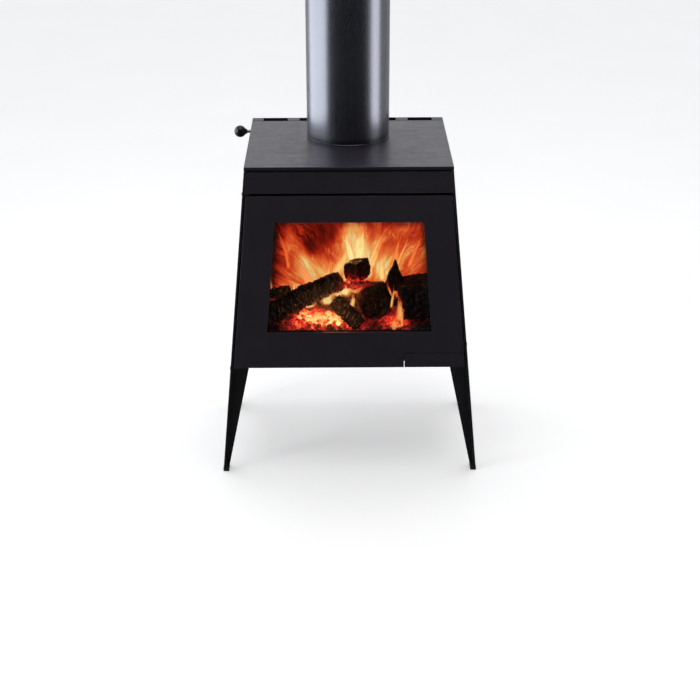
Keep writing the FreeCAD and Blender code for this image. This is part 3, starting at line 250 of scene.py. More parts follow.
def brick_surface(name, dark, light, soot_low, soot_high):
    """Pressed mineral board: gritty, pitted and blackened by soot towards the top."""
    s = Shader(name)
    everywhere = s.places()
    grit = s.noise(everywhere, 900, detail=4, rough=0.7)
    patches = s.noise(everywhere, 26, detail=6, rough=0.65)
    pits = s.cells(everywhere, 240)
    colour = s.ramp(s.math("ADD", s.math("MULTIPLY", grit, 0.4), s.math("MULTIPLY", patches, 0.6)),
                    (0.3, dark), (0.7, light))
    height = s.add("ShaderNodeSeparateXYZ", {0: everywhere}).outputs["Z"]
    climb = s.spread(height, soot_low, soot_high, 0.15, 0.8)
    soot = s.math("MULTIPLY", climb, s.spread(patches, 0.3, 0.62), clamp=True)
    colour = s.mix(soot, colour, (0.012, 0.010, 0.009))
    surface = s.math("ADD", s.math("MULTIPLY", grit, 0.5), s.spread(pits, 0.05, 0.3))
    normal = s.bump(surface, 0.0006, 0.7)
    shader = s.principled(Base_Color=colour, Roughness=s.spread(patches, 0.3, 0.7, 0.86, 0.97), Normal=normal)
    return s.finish(shader)


def rope_surface():
    """Black glass fibre, knitted: fine yarns with greyed, singed patches."""
    s = Shader("knitted_rope")
    everywhere = s.places()
    yarn = s.noise(everywhere, 1500, detail=3, rough=0.7)
    singed = s.noise(everywhere, 30, detail=5, rough=0.6)
    groove = s.attribute("groove")
    colour = s.ramp(yarn, (0.3, (0.018, 0.018, 0.019)), (0.75, (0.085, 0.083, 0.08)))
    colour = s.mix(s.spread(singed, 0.55, 0.75, 0, 0.5), colour, (0.20, 0.185, 0.165))
    # Painted shade: the grooves between the yarns are painted near black.
    colour = s.mix(s.math("MULTIPLY", groove, 0.75), colour, (0.006, 0.006, 0.006))
    normal = s.bump(yarn, 0.0003, 0.8)
    shader = s.principled(Base_Color=colour, Roughness=s.spread(yarn, 0, 1, 0.82, 0.98), Normal=normal,
                          Sheen_Weight=0.25, Sheen_Roughness=0.5)
    return s.finish(shader)


def knob_surface():
    """Gloss black moulded ball with light scuffs."""
    s = Shader("moulded_black")
    everywhere = s.places()
    scuffs = s.noise(s.places((1, 1, 4)), 170, detail=6, rough=0.75)
    flow = s.noise(everywhere, 60, detail=3)
    colour = s.ramp(flow, (0.3, (0.006, 0.006, 0.007)), (0.7, (0.013, 0.013, 0.015)))
    roughness = s.spread(scuffs, 0.45, 0.8, 0.10, 0.26)
    normal = s.bump(flow, 0.00008, 0.3)
    shader = s.principled(Base_Color=colour, Roughness=roughness, Normal=normal, Specular_IOR_Level=0.3)
    return s.finish(shader)


def glass_surface():
    """Clear ceramic glass: it mirrors more at a glancing angle, and soot has crept in at its border."""
    s = Shader("ceramic_glass")
    everywhere = s.places()
    smears = s.noise(s.places((1, 1, 0.4)), 30, detail=6, rough=0.7, distortion=0.8)
    facing = s.add("ShaderNodeLayerWeight", {0: 0.5}).outputs["Facing"]
    mirror = s.math("ADD", s.math("MULTIPLY", s.math("POWER", facing, 4.0), 0.85), 0.035)
    clear = s.add("ShaderNodeBsdfTransparent", {0: (0.93, 0.90, 0.87, 1)}).outputs[0]
    sooted = s.principled(Base_Color=(0.02, 0.019, 0.02), Roughness=s.spread(smears, 0.4, 0.8, 0.02, 0.14),
                          Specular_IOR_Level=1.0)
    gloss = s.add("ShaderNodeBsdfGlossy", {0: (0.9, 0.9, 0.92, 1), "Roughness": 0.03}).outputs[0]
    pane = s.add("ShaderNodeMixShader", {0: mirror, 1: clear, 2: gloss}).outputs[0]
    low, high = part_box("door_glass")
    spot = s.add("ShaderNodeSeparateXYZ", {0: everywhere})
    lean = s.spread(spot.outputs["Z"], low.z, high.z, *half_widths("door_glass"))
    from_side = s.math("SUBTRACT", lean, s.math("ABSOLUTE", spot.outputs["X"]))
    from_low = s.math("SUBTRACT", spot.outputs["Z"], low.z)
    from_high = s.math("SUBTRACT", high.z, spot.outputs["Z"])
    inward = s.math("MINIMUM", from_side, s.math("MINIMUM", from_low, from_high))
    border = s.spread(inward, 0.030, 0.010, smooth=True)
    film = s.math("MULTIPLY", border, s.spread(smears, 0.35, 0.62, 0.0, 0.5))
    film = s.math("ADD", film, s.spread(smears, 0.6, 0.8, 0, 0.025))
    return s.finish(s.add("ShaderNodeMixShader", {0: film, 1: pane, 2: sooted}).outputs[0])


def char_surface():
    """Charcoal: dark plates, grey ash along their rims, and a glow in the cracks where the log is hot."""
    s = Shader("charred_wood")
    everywhere = s.places()
    crack, heat, ashen = s.attribute("crack"), s.attribute("warmth"), s.attribute("ashen")
    fine = s.noise(everywhere, 700, detail=5, rough=0.7)
    patch = s.noise(everywhere, 70, detail=5, rough=0.6)
    colour = s.ramp(fine, (0.3, (0.004, 0.003, 0.003)), (0.62, (0.014, 0.011, 0.011)),
                    (0.85, (0.04, 0.034, 0.033)))
    ash = s.math("MULTIPLY", s.spread(patch, 0.36, 0.62), ashen, clamp=True)
    colour = s.mix(ash, colour, (0.36, 0.31, 0.29))
    # Painted shade: the cracks are painted near black.
    colour = s.mix(s.math("MULTIPLY", crack, 0.9), colour, (0.002, 0.001, 0.001))
    glow = s.math("ADD", s.math("MULTIPLY", crack, 0.62), s.spread(patch, 0.48, 0.72, 0, 0.62))
    glow = s.math("MULTIPLY", s.math("MULTIPLY", heat, glow), s.spread(fine, 0.25, 0.6, 0.55, 1.15))
    light = s.ramp(glow, (0.05, (0, 0, 0)), (0.20, (0.14, 0.004, 0.003)), (0.42, (0.70, 0.030, 0.016)),
                   (0.66, (1.0, 0.20, 0.05)), (0.95, (1.0, 0.72, 0.26)))
    roughness = s.spread(patch, 0.35, 0.65, 0.42, 0.88)
    normal = s.bump(fine, 0.0007, 0.8)
    shader = s.principled(Base_Color=colour, Roughness=roughness, Normal=normal, Emission_Color=light,
                          Emission_Strength=1.3)
    return s.finish(shader)


def ember_surface():
    """Ash over glowing coals: cracks and hollows shine, the tops are grey or black."""
    s = Shader("glowing_embers")
    everywhere = s.places()
    crack, heat = s.attribute("crack"), s.attribute("warmth")
    fine = s.noise(everywhere, 420, detail=5, rough=0.7)
    patch = s.noise(everywhere, 75, detail=5, rough=0.62)
    colour = s.ramp(fine, (0.32, (0.010, 0.008, 0.007)), (0.55, (0.05, 0.043, 0.04)), (0.8, (0.30, 0.26, 0.25)))
    glow = s.math("ADD", s.math("MULTIPLY", crack, 0.45), s.spread(patch, 0.36, 0.64, 0.12, 0.75))
    glow = s.math("MULTIPLY", glow, heat)
    light = s.ramp(glow, (0.06, (0, 0, 0)), (0.20, (0.20, 0.006, 0.006)), (0.38, (0.80, 0.035, 0.022)),
                   (0.60, (1.0, 0.24, 0.05)), (0.90, (1.0, 0.80, 0.30)))
    normal = s.bump(s.math("ADD", fine, patch), 0.0012, 0.8)
    shader = s.principled(Base_Color=colour, Roughness=s.spread(fine, 0.3, 0.7, 0.75, 0.95), Normal=normal,
                          Emission_Color=light, Emission_Strength=1.5)
    return s.finish(shader)


FIRE_STOPS = (
    (0.00, (0.010, 0.001, 0.0003)),
    (0.14, (0.060, 0.003, 0.001)),
    (0.27, (0.22, 0.010, 0.004)),
    (0.40, (0.48, 0.026, 0.008)),
    (0.52, (0.74, 0.085, 0.020)),
    (0.64, (0.92, 0.22, 0.052)),
    (0.77, (0.97, 0.48, 0.13)),
    (0.88, (1.0, 0.76, 0.29)),
    (1.00, (1.0, 0.92, 0.42)),
)


def fire_curtain_surface():
    """The body of the fire: silky streaks that fan out from the hearth, brighter where glow is high."""
    s = Shader("fire_curtain")
    fan, reach = s.attribute("fan"), s.attribute("reach")
    drift = s.noise(s.add("ShaderNodeCombineXYZ", {0: fan, 1: reach, 2: 3.0}).outputs[0], 2.4, detail=2)
    bent = s.math("ADD", fan, s.math("MULTIPLY", s.math("SUBTRACT", drift, 0.5), 0.12))

    def streaks(across, along, depth, detail=4):
        spots = {0: s.math("MULTIPLY", bent, across), 1: s.math("MULTIPLY", reach, along), 2: depth}
        point = s.add("ShaderNodeCombineXYZ", spots).outputs[0]
        return s.noise(point, 1.0, detail=detail, rough=0.5, distortion=0.12)

    def centred(value, share):
        return s.math("MULTIPLY", s.math("SUBTRACT", value, 0.5), share)

    veils = streaks(3.4, 0.8, 0.0, 2)
    silk = streaks(10.0, 1.5, 5.0)
    thread = s.math("ABSOLUTE", centred(streaks(15.0, 1.9, 9.0, 2), 2.0))
    thread = s.spread(thread, 0.16, 0.0, smooth=True)
    fade = s.spread(streaks(5.0, 2.0, 13.0, 1), 0.42, 0.66)
    heat = s.math("ADD", s.attribute("glow"), centred(veils, 0.62))
    heat = s.math("ADD", heat, centred(silk, 0.50))
    heat = s.math("ADD", heat, s.math("MULTIPLY", s.math("MULTIPLY", thread, fade), 0.15))
    light = s.add("ShaderNodeEmission", {0: s.ramp(heat, *FIRE_STOPS), 1: 1.0}).outputs[0]
    clear = s.add("ShaderNodeBsdfTransparent").outputs[0]
    solid = s.math("MULTIPLY", s.attribute("solid"), s.spread(heat, -0.05, 0.2))
    return s.finish(s.add("ShaderNodeMixShader", {0: solid, 1: clear, 2: light}).outputs[0])


def flame_surface():
    """A tongue of flame: dense along its middle, thin at its sides and tip."""
    s = Shader("flame")
    across, along = s.attribute("across"), s.attribute("along")
    seed, bright = s.attribute("seed"), s.attribute("bright")
    point = s.add("ShaderNodeCombineXYZ", {0: s.math("MULTIPLY", across, 1.5), 1: s.math("MULTIPLY", along, 2.1),
                                           2: s.math("MULTIPLY", seed, 17.0)}).outputs[0]
    silk = s.noise(point, 1.7, detail=4, rough=0.55, distortion=0.9)
    wander = s.math("SUBTRACT", silk, 0.5)
    side = s.math("ADD", s.math("ABSOLUTE", across), s.math("MULTIPLY", wander, 1.1))
    dense = s.spread(side, 0.95, 0.15, smooth=True)
    tip = s.spread(s.math("ADD", along, s.math("MULTIPLY", wander, 0.9)), 0.98, 0.40, smooth=True)
    root = s.spread(along, 0.0, 0.14, smooth=True)
    dense = s.math("MULTIPLY", s.math("MULTIPLY", dense, tip), root)
    heat = s.math("MULTIPLY", s.math("ADD", s.math("MULTIPLY", dense, 0.42), 0.50), bright)
    heat = s.math("SUBTRACT", heat, s.math("MULTIPLY", along, 0.16))
    light = s.add("ShaderNodeEmission", {0: s.ramp(heat, *FIRE_STOPS), 1: 1.3}).outputs[0]
    clear = s.add("ShaderNodeBsdfTransparent").outputs[0]
    solid = s.math("MULTIPLY", dense, 0.80)
    return s.finish(s.add("ShaderNodeMixShader", {0: solid, 1: clear, 2: light}).outputs[0])


black_paint = satin_paint("stove_paint", 0.0160, 0.46, tint=(0.98, 0.84, 1.0))
cooktop_paint = satin_paint("cooktop_paint", 0.018, 0.37, streaks=0.9, wear=0.3, tint=(0.66, 0.63, 0.76))
side_paint = satin_paint("side_plate_paint", 0.010, 0.33, gloss=0.5, rounding=0.0028)
# Painted shade: a darker copy of the stove's black paint for the front frame and rear plate, so the gaps where the
# frame shows read as shade.
shaded_frame_paint = satin_paint("shaded_frame_paint", 0.0115, 0.52, gloss=0.35)
inner_paint = satin_paint("sooted_paint", 0.006, 0.70, gloss=0.3)
casing_paint = metallic_paint()
stainless = bare_metal("stainless", (0.38, 0.37, 0.37), (0.55, 0.55, 0.55), 0.30, tinted=True)
steel = bare_metal("bare_steel", (0.20, 0.20, 0.21), (0.36, 0.36, 0.37), 0.36)
firebrick = brick_surface("firebrick", (0.09, 0.065, 0.045), (0.26, 0.19, 0.13), 0.33, 0.62)
board = brick_surface("vermiculite", (0.20, 0.15, 0.09), (0.42, 0.34, 0.20), 0.60, 0.70)
rope_fibre = rope_surface()
knob_black = knob_surface()
glass = glass_surface()
char = char_surface()
embers = ember_surface()
curtain = fire_curtain_surface()
flame = flame_surface()

FINISHES = {
    "flue_pipe": stainless, "flue_casing": casing_paint, "flue_spacers": stainless, "flue_collar": inner_paint,
    "top_plate": cooktop_paint, "left_side_plate": side_paint, "right_side_plate": side_paint,
    "front_frame": shaded_frame_paint, "rear_plate": shaded_frame_paint,
    "firebox_floor": inner_paint, "floor_bricks": firebrick, "left_bricks": firebrick, "right_bricks": firebrick,
    "rear_bricks": firebrick, "air_rails": stainless, "secondary_air_tubes": stainless, "baffle_plate": board,
    "log_retainer": inner_paint, "airwash_deflector": inner_paint, "air_ducts": inner_paint,
    "rear_air_box": inner_paint, "air_slide_plate": steel, "slide_guides": steel, "control_rod": steel,
    "control_knob": knob_black, "rod_bush": steel, "rear_shield_spacers": steel, "rear_shield_screws": steel,
    "bottom_shield_posts": steel, "hinge_pins": steel, "hinge_sleeves": steel, "glass_gasket": rope_fibre,
    "door_glass": glass, "glass_studs": steel, "glass_clips": steel, "glass_nuts": steel,
    "handle_shaft": steel, "handle_bearings": steel, "latch_tongue": steel, "door_rope_seal": rope_fibre,
    "ember_bed": embers,
}
for name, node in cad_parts.items():
    finish = char if name.startswith("log_") and name != "log_retainer" else FINISHES.get(name, black_paint)
    node.data.materials.clear()
    node.data.materials.append(finish)


# ---------------------------------------------------------------- meshes

def make_piece(name, points, faces, material, attributes, body="root"):
    """A smooth mesh object that rides on a body, with its named values at each point."""
    mesh = bpy.data.meshes.new(name)
    mesh.from_pydata([tuple(point) for point in points], [], faces)
    for key, values in attributes.items():
        layer = mesh.attributes.new(key, "FLOAT", "POINT")
        layer.data.foreach_set("value", np.asarray(values, np.float32))
    mesh.polygons.foreach_set("use_smooth", [True] * len(mesh.polygons))
    mesh.materials.append(material)
    mesh.update()
    made = bpy.data.objects.new(name, mesh)
    bpy.context.scene.collection.objects.link(made)
    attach(made, body)
    return made


def grid_faces(rows, columns, closed=False, offset=0):
    """Quads over rows of points, joined round each row if closed."""
    faces = []
    across = columns if closed else columns - 1
    for row in range(rows - 1):
        for column in range(across):
            a = offset + row * columns + column
            b = offset + row * columns + (column + 1) % columns
            faces.append((a, b, b + columns, a + columns))
    return faces


# Where the fire is hottest: place, reach in metres, strength.
HOT_SPOTS = [
    (place(-14, 165, 424), 0.030, 0.75),
    (place(25, 166, 430), 0.034, 0.50),
    (place(-26, 145, 348), 0.032, 1.50),
    (place(-85, 165, 343), 0.045, 1.50),
    (place(10, 165, 395), 0.030, 0.90),
    (place(118, 112, 345), 0.026, 0.70),
    (place(-110, 105, 345), 0.055, 0.30),
    (place(25, 92, 335), 0.032, 0.35),
    (place(100, 160, 350), 0.050, 0.35),
]


def heat_at(points):
    """How warm each point is, added up over the hot spots."""
    total = np.zeros(len(points))
    for spot, reach, strength in HOT_SPOTS:
        distance = np.linalg.norm(points - np.array(spot), axis=1)
        total += strength * np.exp(-((distance / reach) ** 2))
    return total


def cell_field(point):
    """How deep in a crack a point of charcoal is, from 0 to 1, and its plate's own random level."""
    distances, centres = noise.voronoi(point)
    gap = distances[1] - distances[0]
    crack = float(1 - smooth_step(0.02, 0.24, gap))
    return crack, noise.cell(centres[0] * 7.31)


def char_blocks(along, around, cell, wander):
    """The square cracks of charred wood: how deep in one a point is, its block's level and its rim."""
    ring = along / cell[0] + 0.9 * wander
    row = math.floor(ring)
    line = around / cell[1] + 0.5 * wander + 0.618 * row
    column = math.floor(line)
    gap = min(min(ring - row, row + 1 - ring) * cell[0], 1.5 * min(line - column, column + 1 - line) * cell[1])
    crack = 1 - float(smooth_step(0.0, 1.7, gap))
    rim = float(smooth_step(0.9, 2.0, gap)) * (1 - float(smooth_step(2.2, 3.4, gap)))
    return crack, noise.cell(Vector((row * 1.7 + 0.5, column * 2.3 + 0.5, cell[0]))), rim


def charred_log(name, start, end, radius, flats=None, bow=0.0, cell=(7.5, 15.0), ashen=0.25, heat=1.0,
                flatten=1.0, taper=0.0, nodes=()):
    """A burnt log: a closed surface with its own cross section, split by charcoal cracks.

    flats is its number of sides, their turn and how flat they are; bow lifts its middle; cell is the size of a
    block of charcoal along and around it; ashen and heat say how grey and how hot it is; flatten scales its
    height and taper narrows its far end. nodes are the CAD logs that it replaces.
    """
    start, end = place(*start), place(*end)
    axis = (end - start).normalized()
    length = (end - start).length
    side = axis.cross(Vector((0, 0, 1))).normalized()
    up = side.cross(axis)
    radius *= MM
    around = max(60, int(2 * math.pi * radius / 0.0014))
    body_rows = max(24, int(length / 0.0013))
    cap_rows = max(8, int(radius / 0.0020))
    shift = Vector((start.x * 37 + 5, start.y * 31, end.z * 29))
    rows = [(0.0, k / cap_rows, -1) for k in range(1, cap_rows)]
    rows += [(k / body_rows, 1.0, 0) for k in range(body_rows + 1)]
    rows += [(1.0, k / cap_rows, 1) for k in range(cap_rows - 1, 0, -1)]
    points, cracks, ash = [], [], []

    def section(angle):
        if not flats:
            return 1.0
        sides, turn, blend = flats
        step = 2 * math.pi / sides
        local = (angle - turn) % step - step / 2
        polygon = math.cos(step / 2) ** 0.5 / math.cos(local)
        return blend * polygon + (1 - blend)

    def surface(share, rho, cap, angle):
        rim = section(angle) * (1 - taper * share)
        lump = noise.noise(Vector((math.cos(angle) * 1.1, math.sin(angle) * 1.1, share * length / 0.05)) + shift)
        reach = radius * rim * (1 + 0.12 * lump)
        outward = side * math.cos(angle) + up * (math.sin(angle) * flatten)
        centre = start + axis * (length * share) + up * (bow * MM * math.sin(math.pi * share))
        flat = outward * (reach * rho)
        if cap == 0:
            wander = noise.noise((centre + flat) * 55 + shift) + 0.4 * noise.noise((centre + flat) * 150)
            crack, level, ridge = char_blocks(share * length / MM, angle * radius / MM, cell, wander)
            ends = min(share, 1 - share) * length
            rounding = 1 - 0.16 * float(1 - smooth_step(0, 0.010, ends))
            fine = noise.fractal((centre + flat) * 260, 0.8, 2.2, 3)
            flat = outward * (reach * rounding - crack * 0.0030 + (level - 0.5) * 0.0022 + fine * 0.0006)
            return centre + flat, crack, ridge * (0.35 + 0.65 * level)
        ring = math.sin(rho * radius / 0.00115 + 1.2 * noise.noise(flat * 60 + shift))
        crack = cell_field(flat / (0.9 * cell[1] * MM) + shift)[0]
        jag = noise.noise(flat * 75 + shift) * 0.006 + noise.noise(flat * 190) * 0.002
        lift = (jag + ring * 0.0005 - crack * 0.0022) * (1 - rho ** 6)
        flat = flat * (1 - 0.16 * rho ** 8)
        arc = 0.7 * max(0.0, ring) ** 4 * float(smooth_step(0.45, 0.95, rho))
        return centre + flat + axis * (cap * lift), max(crack * 0.8, 0.2 * (1 - ring)), arc

    for share, rho, cap in rows:
        for k in range(around):
            point, crack, ridge = surface(share, rho, cap, 2 * math.pi * k / around)
            points.append(point)
            cracks.append(crack)
            ash.append(ridge)
    faces = grid_faces(len(rows), around, closed=True)
    for centre, first, flip in ((start, 0, True), (end, (len(rows) - 1) * around, False)):
        middle = len(points)
        points.append(centre)
        cracks.append(0.3)
        ash.append(0.1)
        for k in range(around):
            a, b = first + k, first + (k + 1) % around
            faces.append((b, a, middle) if flip else (a, b, middle))
    faces = [tuple(reversed(face)) for face in faces]
    spots = np.array([tuple(point) for point in points])
    warm = heat_at(spots) * heat
    made = make_piece(name, points, faces, char, {"crack": cracks, "warmth": warm, "ashen": np.array(ash) * ashen})
    if nodes:
        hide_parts(*nodes)
    return made


def lump(centre, size, seed, points, faces, cracks):
    """Adds one coal to a shared mesh: a rough block with rounded corners."""
    rows, around = 14, 20
    first = len(points)
    turn = Matrix.Rotation(seed * 2.1, 3, "Z") @ Matrix.Rotation(seed * 1.3, 3, "X")
    shift = Vector((seed * 5.1, seed * 2.3, 0))
    for row in range(rows):
        tilt = math.pi * (row + 0.5) / rows
        for k in range(around):
            angle = 2 * math.pi * k / around
            way = Vector((math.sin(tilt) * math.cos(angle), math.sin(tilt) * math.sin(angle), math.cos(tilt)))
            boxy = way / max(abs(way.x), abs(way.y), abs(way.z)) ** 0.55
            crack = cell_field(way * 1.6 + shift)[0]
            rough = 1 + 0.16 * noise.noise(way * 2.3 + shift) - 0.10 * crack
            shaped = Vector((boxy.x * size[0], boxy.y * size[1], boxy.z * size[2])) * rough
            points.append(centre + turn @ shaped)
            cracks.append(crack)
    faces.extend(tuple(reversed(face)) for face in grid_faces(rows, around, closed=True, offset=first))
    for start, flip in ((first, False), (first + (rows - 1) * around, True)):
        ring = tuple(range(start, start + around))
        faces.append(ring[::-1] if flip else ring)


# The ember heap's half width, its front and rear edges behind the door's face and its floor, in millimetres,
# and the height at which its warmth is looked up, in metres.
HEAP_HALF, HEAP_FRONT, HEAP_REAR, HEAP_FLOOR = 205, 67, 345, 330
EMBER_LEVEL = 0.345


def ember_height(across, depth):
    """The heap's height above its floor, in millimetres."""
    edge = min(HEAP_HALF - abs(across), depth - HEAP_FRONT, HEAP_REAR - depth)
    rise = float(smooth_step(0, 42, edge))
    hills = noise.noise(Vector((across / 46, depth / 46, 3.1)))
    return 4 + rise * (13 + 6 * hills)


def make_ember_bed():
    """The heap's cracked top, with a skirt down to a flat base."""
    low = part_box("ember_bed")[0].z
    columns, rows = 186, 126
    points, cracks = [], []
    for row in range(rows):
        for column in range(columns):
            across = -HEAP_HALF + 2 * HEAP_HALF * column / (columns - 1)
            depth = HEAP_FRONT + (HEAP_REAR - HEAP_FRONT) * row / (rows - 1)
            spot = Vector((across / 17, depth / 17, 0.0))
            crack, level = cell_field(spot)
            fine = noise.fractal(Vector((across / 6, depth / 6, 1.7)), 0.9, 2.1, 3)
            height = ember_height(across, depth) - crack * 4.5 + (level - 0.5) * 7 + fine * 1.6
            border = row in (0, rows - 1) or column in (0, columns - 1)
            points.append(place(across, depth, low / MM + (0.05 if border else max(0.6, height))))
            cracks.append(crack)
    faces = grid_faces(rows, columns)
    top = len(points)
    rim = list(range(columns))
    rim += [row * columns + columns - 1 for row in range(1, rows)]
    rim += [(rows - 1) * columns + k for k in range(columns - 2, -1, -1)]
    rim += [row * columns for row in range(rows - 2, 0, -1)]
    for k in rim:
        points.append(Vector((points[k].x, points[k].y, low)))
        cracks.append(0.0)
    count = len(rim)
    for k in range(count):
        a, b = rim[k], rim[(k + 1) % count]
        faces.append((b, a, top + k, top + (k + 1) % count))
    faces.append(tuple(top + k for k in reversed(range(count))))
    spots = np.array([tuple(point) for point in points])
    level_spots = spots * (1, 1, 0) + (0, 0, EMBER_LEVEL)
    heat = np.clip(heat_at(level_spots) + 0.07, 0, 1.3)
    bed = make_piece("ember_heap", points, faces, embers, {"crack": cracks, "warmth": heat})
    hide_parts("ember_bed")


def make_coals():
    """Loose coals on the heap, and a glowing pile where the logs meet."""
    rng = random.Random(11)
    points, faces, cracks = [], [], []
    for index in range(170):
        across, depth = rng.uniform(-196, 196), rng.uniform(74, 300)
        size = [rng.uniform(3.5, 10) * MM for _ in range(3)]
        height = HEAP_FLOOR + ember_height(across, depth) + size[2] / MM * 0.45
        lump(place(across, depth, height), size, index + 0.37, points, faces, cracks)
    for index in range(46):
        share = rng.random()
        across, depth = -8 + 72 * share + rng.uniform(-6, 6), rng.uniform(140, 172)
        height = 437 + 6 * math.sin(3.1 * share) - 8 * share + rng.uniform(-5, 6)
        size = [rng.uniform(4, 9) * MM for _ in range(3)]
        lump(place(across, depth, height), size, index + 0.71, points, faces, cracks)
    spots = np.array([tuple(point) for point in points])
    heat = np.clip(heat_at(spots) * 0.85 + 0.05, 0, 1.1)
    make_piece("loose_coals", points, faces, embers, {"crack": cracks, "warmth": heat})


# ---------------------------------------------------------------- flames

# Soft lights and darks in the fire: across, height, half width, half height in millimetres, strength.
CURTAIN_GLOWS = [
    (14, 468, 38, 62, 0.46),
    (12, 425, 62, 34, 0.30),
    (8, 535, 26, 46, 0.20),
    (62, 468, 30, 44, 0.22),
    (84, 418, 24, 46, 0.30),
    (150, 452, 70, 52, 0.14),
    (95, 548, 80, 22, -0.14),
    (-66, 526, 56, 44, -0.24),
    (-95, 478, 20, 36, -0.16),
    (-150, 508, 12, 36, 0.16),
    (-114, 428, 34, 42, 0.26),
    (-88, 402, 46, 28, 0.18),
    (-206, 480, 26, 140, -0.50),
    (-170, 545, 60, 30, -0.14),
    (-60, 352, 90, 40, 0.45),
    (120, 360, 40, 60, 0.20),
]


# The curtain's lowest edge, height, half width, narrowing towards the top and the line its streaks fan out from.
CURTAIN_LOW, CURTAIN_TALL, CURTAIN_HALF, CURTAIN_TAPER, FAN_LINE = 334, 300, 216, 18, 16


def make_curtain():
    """A pleated sheet of fire across the back of the firebox."""
    columns, rows = 180, 130
    points, glow, solid, fan, reach = [], [], [], [], []
    for row in range(rows):
        height = CURTAIN_LOW + CURTAIN_TALL * row / (rows - 1)
        half = CURTAIN_HALF - CURTAIN_TAPER * row / (rows - 1)
        for column in range(columns):
            across = -half + 2 * half * column / (columns - 1)
            fold = noise.noise(Vector((across / 34, height / 120, 0.4)))
            depth = 322 + 15 * fold - 26 * (across / half) ** 2
            points.append(place(across, depth, height))
            level = 0.42
            for x, z, wide, tall, strength in CURTAIN_GLOWS:
                level += strength * math.exp(-(((across - x) / wide) ** 2) - ((height - z) / tall) ** 2)
            glow.append(level)
            sides = float(smooth_step(0, 30, half - abs(across)))
            top = 1 - float(smooth_step(590, CURTAIN_LOW + CURTAIN_TALL, height))
            solid.append(sides * top)
            rise = (height - 300) / 100 + 0.35
            fan.append((across - FAN_LINE) / 100 / rise)
            reach.append(math.hypot((across - FAN_LINE) / 100, rise))
    values = {"glow": glow, "solid": solid, "fan": fan, "reach": reach}
    make_piece("fire_curtain", points, grid_faces(rows, columns), curtain, values)


def add_tongue(parts, root, tall, wide, lean, curl, bright, rng):
    """Adds one flame to a shared mesh: a curved ribbon that narrows to its tip."""
    points, faces, values = parts
    rows, columns = 26, 9
    first, seed = len(points), rng.random()
    phase, turns, swell = rng.uniform(0, 6.28), rng.uniform(3.0, 5.5), rng.uniform(-0.5, 0.5)
    for row in range(rows):
        along = row / (rows - 1)
        middle_x = root[0] + lean * along ** 1.3 + curl * math.sin(phase + turns * along) * along
        middle_y = root[1] + swell * wide * along + 0.2 * curl * math.cos(phase + turns * along)
        half = wide * (0.35 + 0.65 * math.sin(math.pi * min(1.0, 0.18 + along) ** 0.9)) * (1 - along) ** 0.35
        turn = swell * 1.4 * math.sin(turns * 0.6 * along + phase)
        for column in range(columns):
            across = 2 * column / (columns - 1) - 1
            bulge = 0.35 * half * (1 - across ** 2)
            x = middle_x + half * across * math.cos(turn)
            y = middle_y + half * across * math.sin(turn) - bulge
            points.append(place(x, y, root[2] + tall * along))
            for key, value in (("across", across), ("along", along), ("seed", seed), ("bright", bright)):
                values[key].append(value)
    faces.extend(grid_faces(rows, columns, offset=first))


# Flames by layer: across, depth, height of the root, then height, half width, lean, curl and brightness.
FLAMES = {
    "flames_rear": [
        (-40, 275, 370, 190, 30, 52, 16, 0.98), (22, 268, 400, 210, 34, 10, 12, 1.10),
        (52, 262, 400, 190, 22, 42, 14, 0.95), (-96, 262, 360, 150, 32, -30, 18, 0.78),
        (-152, 255, 430, 150, 12, -26, 12, 0.70), (100, 258, 400, 190, 16, 62, 12, 0.80),
        (150, 262, 430, 150, 14, 52, 12, 0.74), (8, 250, 430, 150, 18, -8, 12, 1.12),
        (-66, 262, 380, 120, 22, 26, 12, 0.90), (120, 250, 440, 130, 9, 46, 10, 0.86),
    ],
    "flames_middle": [
        (-10, 236, 370, 120, 26, 22, 10, 1.02), (-56, 226, 352, 84, 30, 14, 8, 1.0),
        (-100, 214, 350, 66, 30, 10, 8, 0.96), (84, 236, 410, 110, 14, 6, 8, 0.98),
        (98, 150, 380, 86, 13, 4, 8, 0.84), (-190, 200, 392, 66, 6, -14, 5, 0.88),
        (-136, 196, 402, 34, 6, 2, 4, 1.00), (60, 244, 440, 110, 10, 24, 12, 0.92),
    ],
    "flames_front": [
        (126, 116, 350, 92, 17, -10, 8, 0.90), (112, 96, 338, 52, 20, 6, 5, 0.84),
        (-34, 150, 338, 46, 20, 4, 4, 0.98), (-14, 150, 338, 60, 13, 6, 4, 0.96),
        (-84, 150, 342, 40, 34, 8, 5, 0.98), (6, 158, 372, 56, 11, 10, 4, 0.98),
        (104, 122, 384, 80, 6, 4, 6, 0.92), (130, 100, 345, 60, 8, 6, 6, 0.84),
    ],
}


def make_flames():
    """Each layer of flames, as one mesh."""
    rng = random.Random(5)
    for name, flames in FLAMES.items():
        points, faces = [], []
        values = {"across": [], "along": [], "seed": [], "bright": []}
        for x, y, z, tall, wide, lean, curl, bright in flames:
            add_tongue((points, faces, values), (x, y, z), tall, wide, lean, curl, bright, rng)
        made = make_piece(name, points, faces, flame, values)
        made.visible_shadow = False


# ---------------------------------------------------------------- rope seal

def rounded_loop(corners, radius, step):
    """Evenly spaced points round a closed outline whose corners are arcs."""
    line = []
    count = len(corners)
    for index, corner in enumerate(corners):
        before = (corners[index - 1] - corner).normalized()
        after = (corners[(index + 1) % count] - corner).normalized()
        for k in range(9):
            t = k / 8
            line.append(corner + before * radius * (1 - t) ** 2 + after * radius * t ** 2)
    path = []
    for index, point in enumerate(line):
        following = line[(index + 1) % len(line)]
        parts = max(1, round((following - point).length / step))
        path += [point.lerp(following, k / parts) for k in range(parts)]
    return path


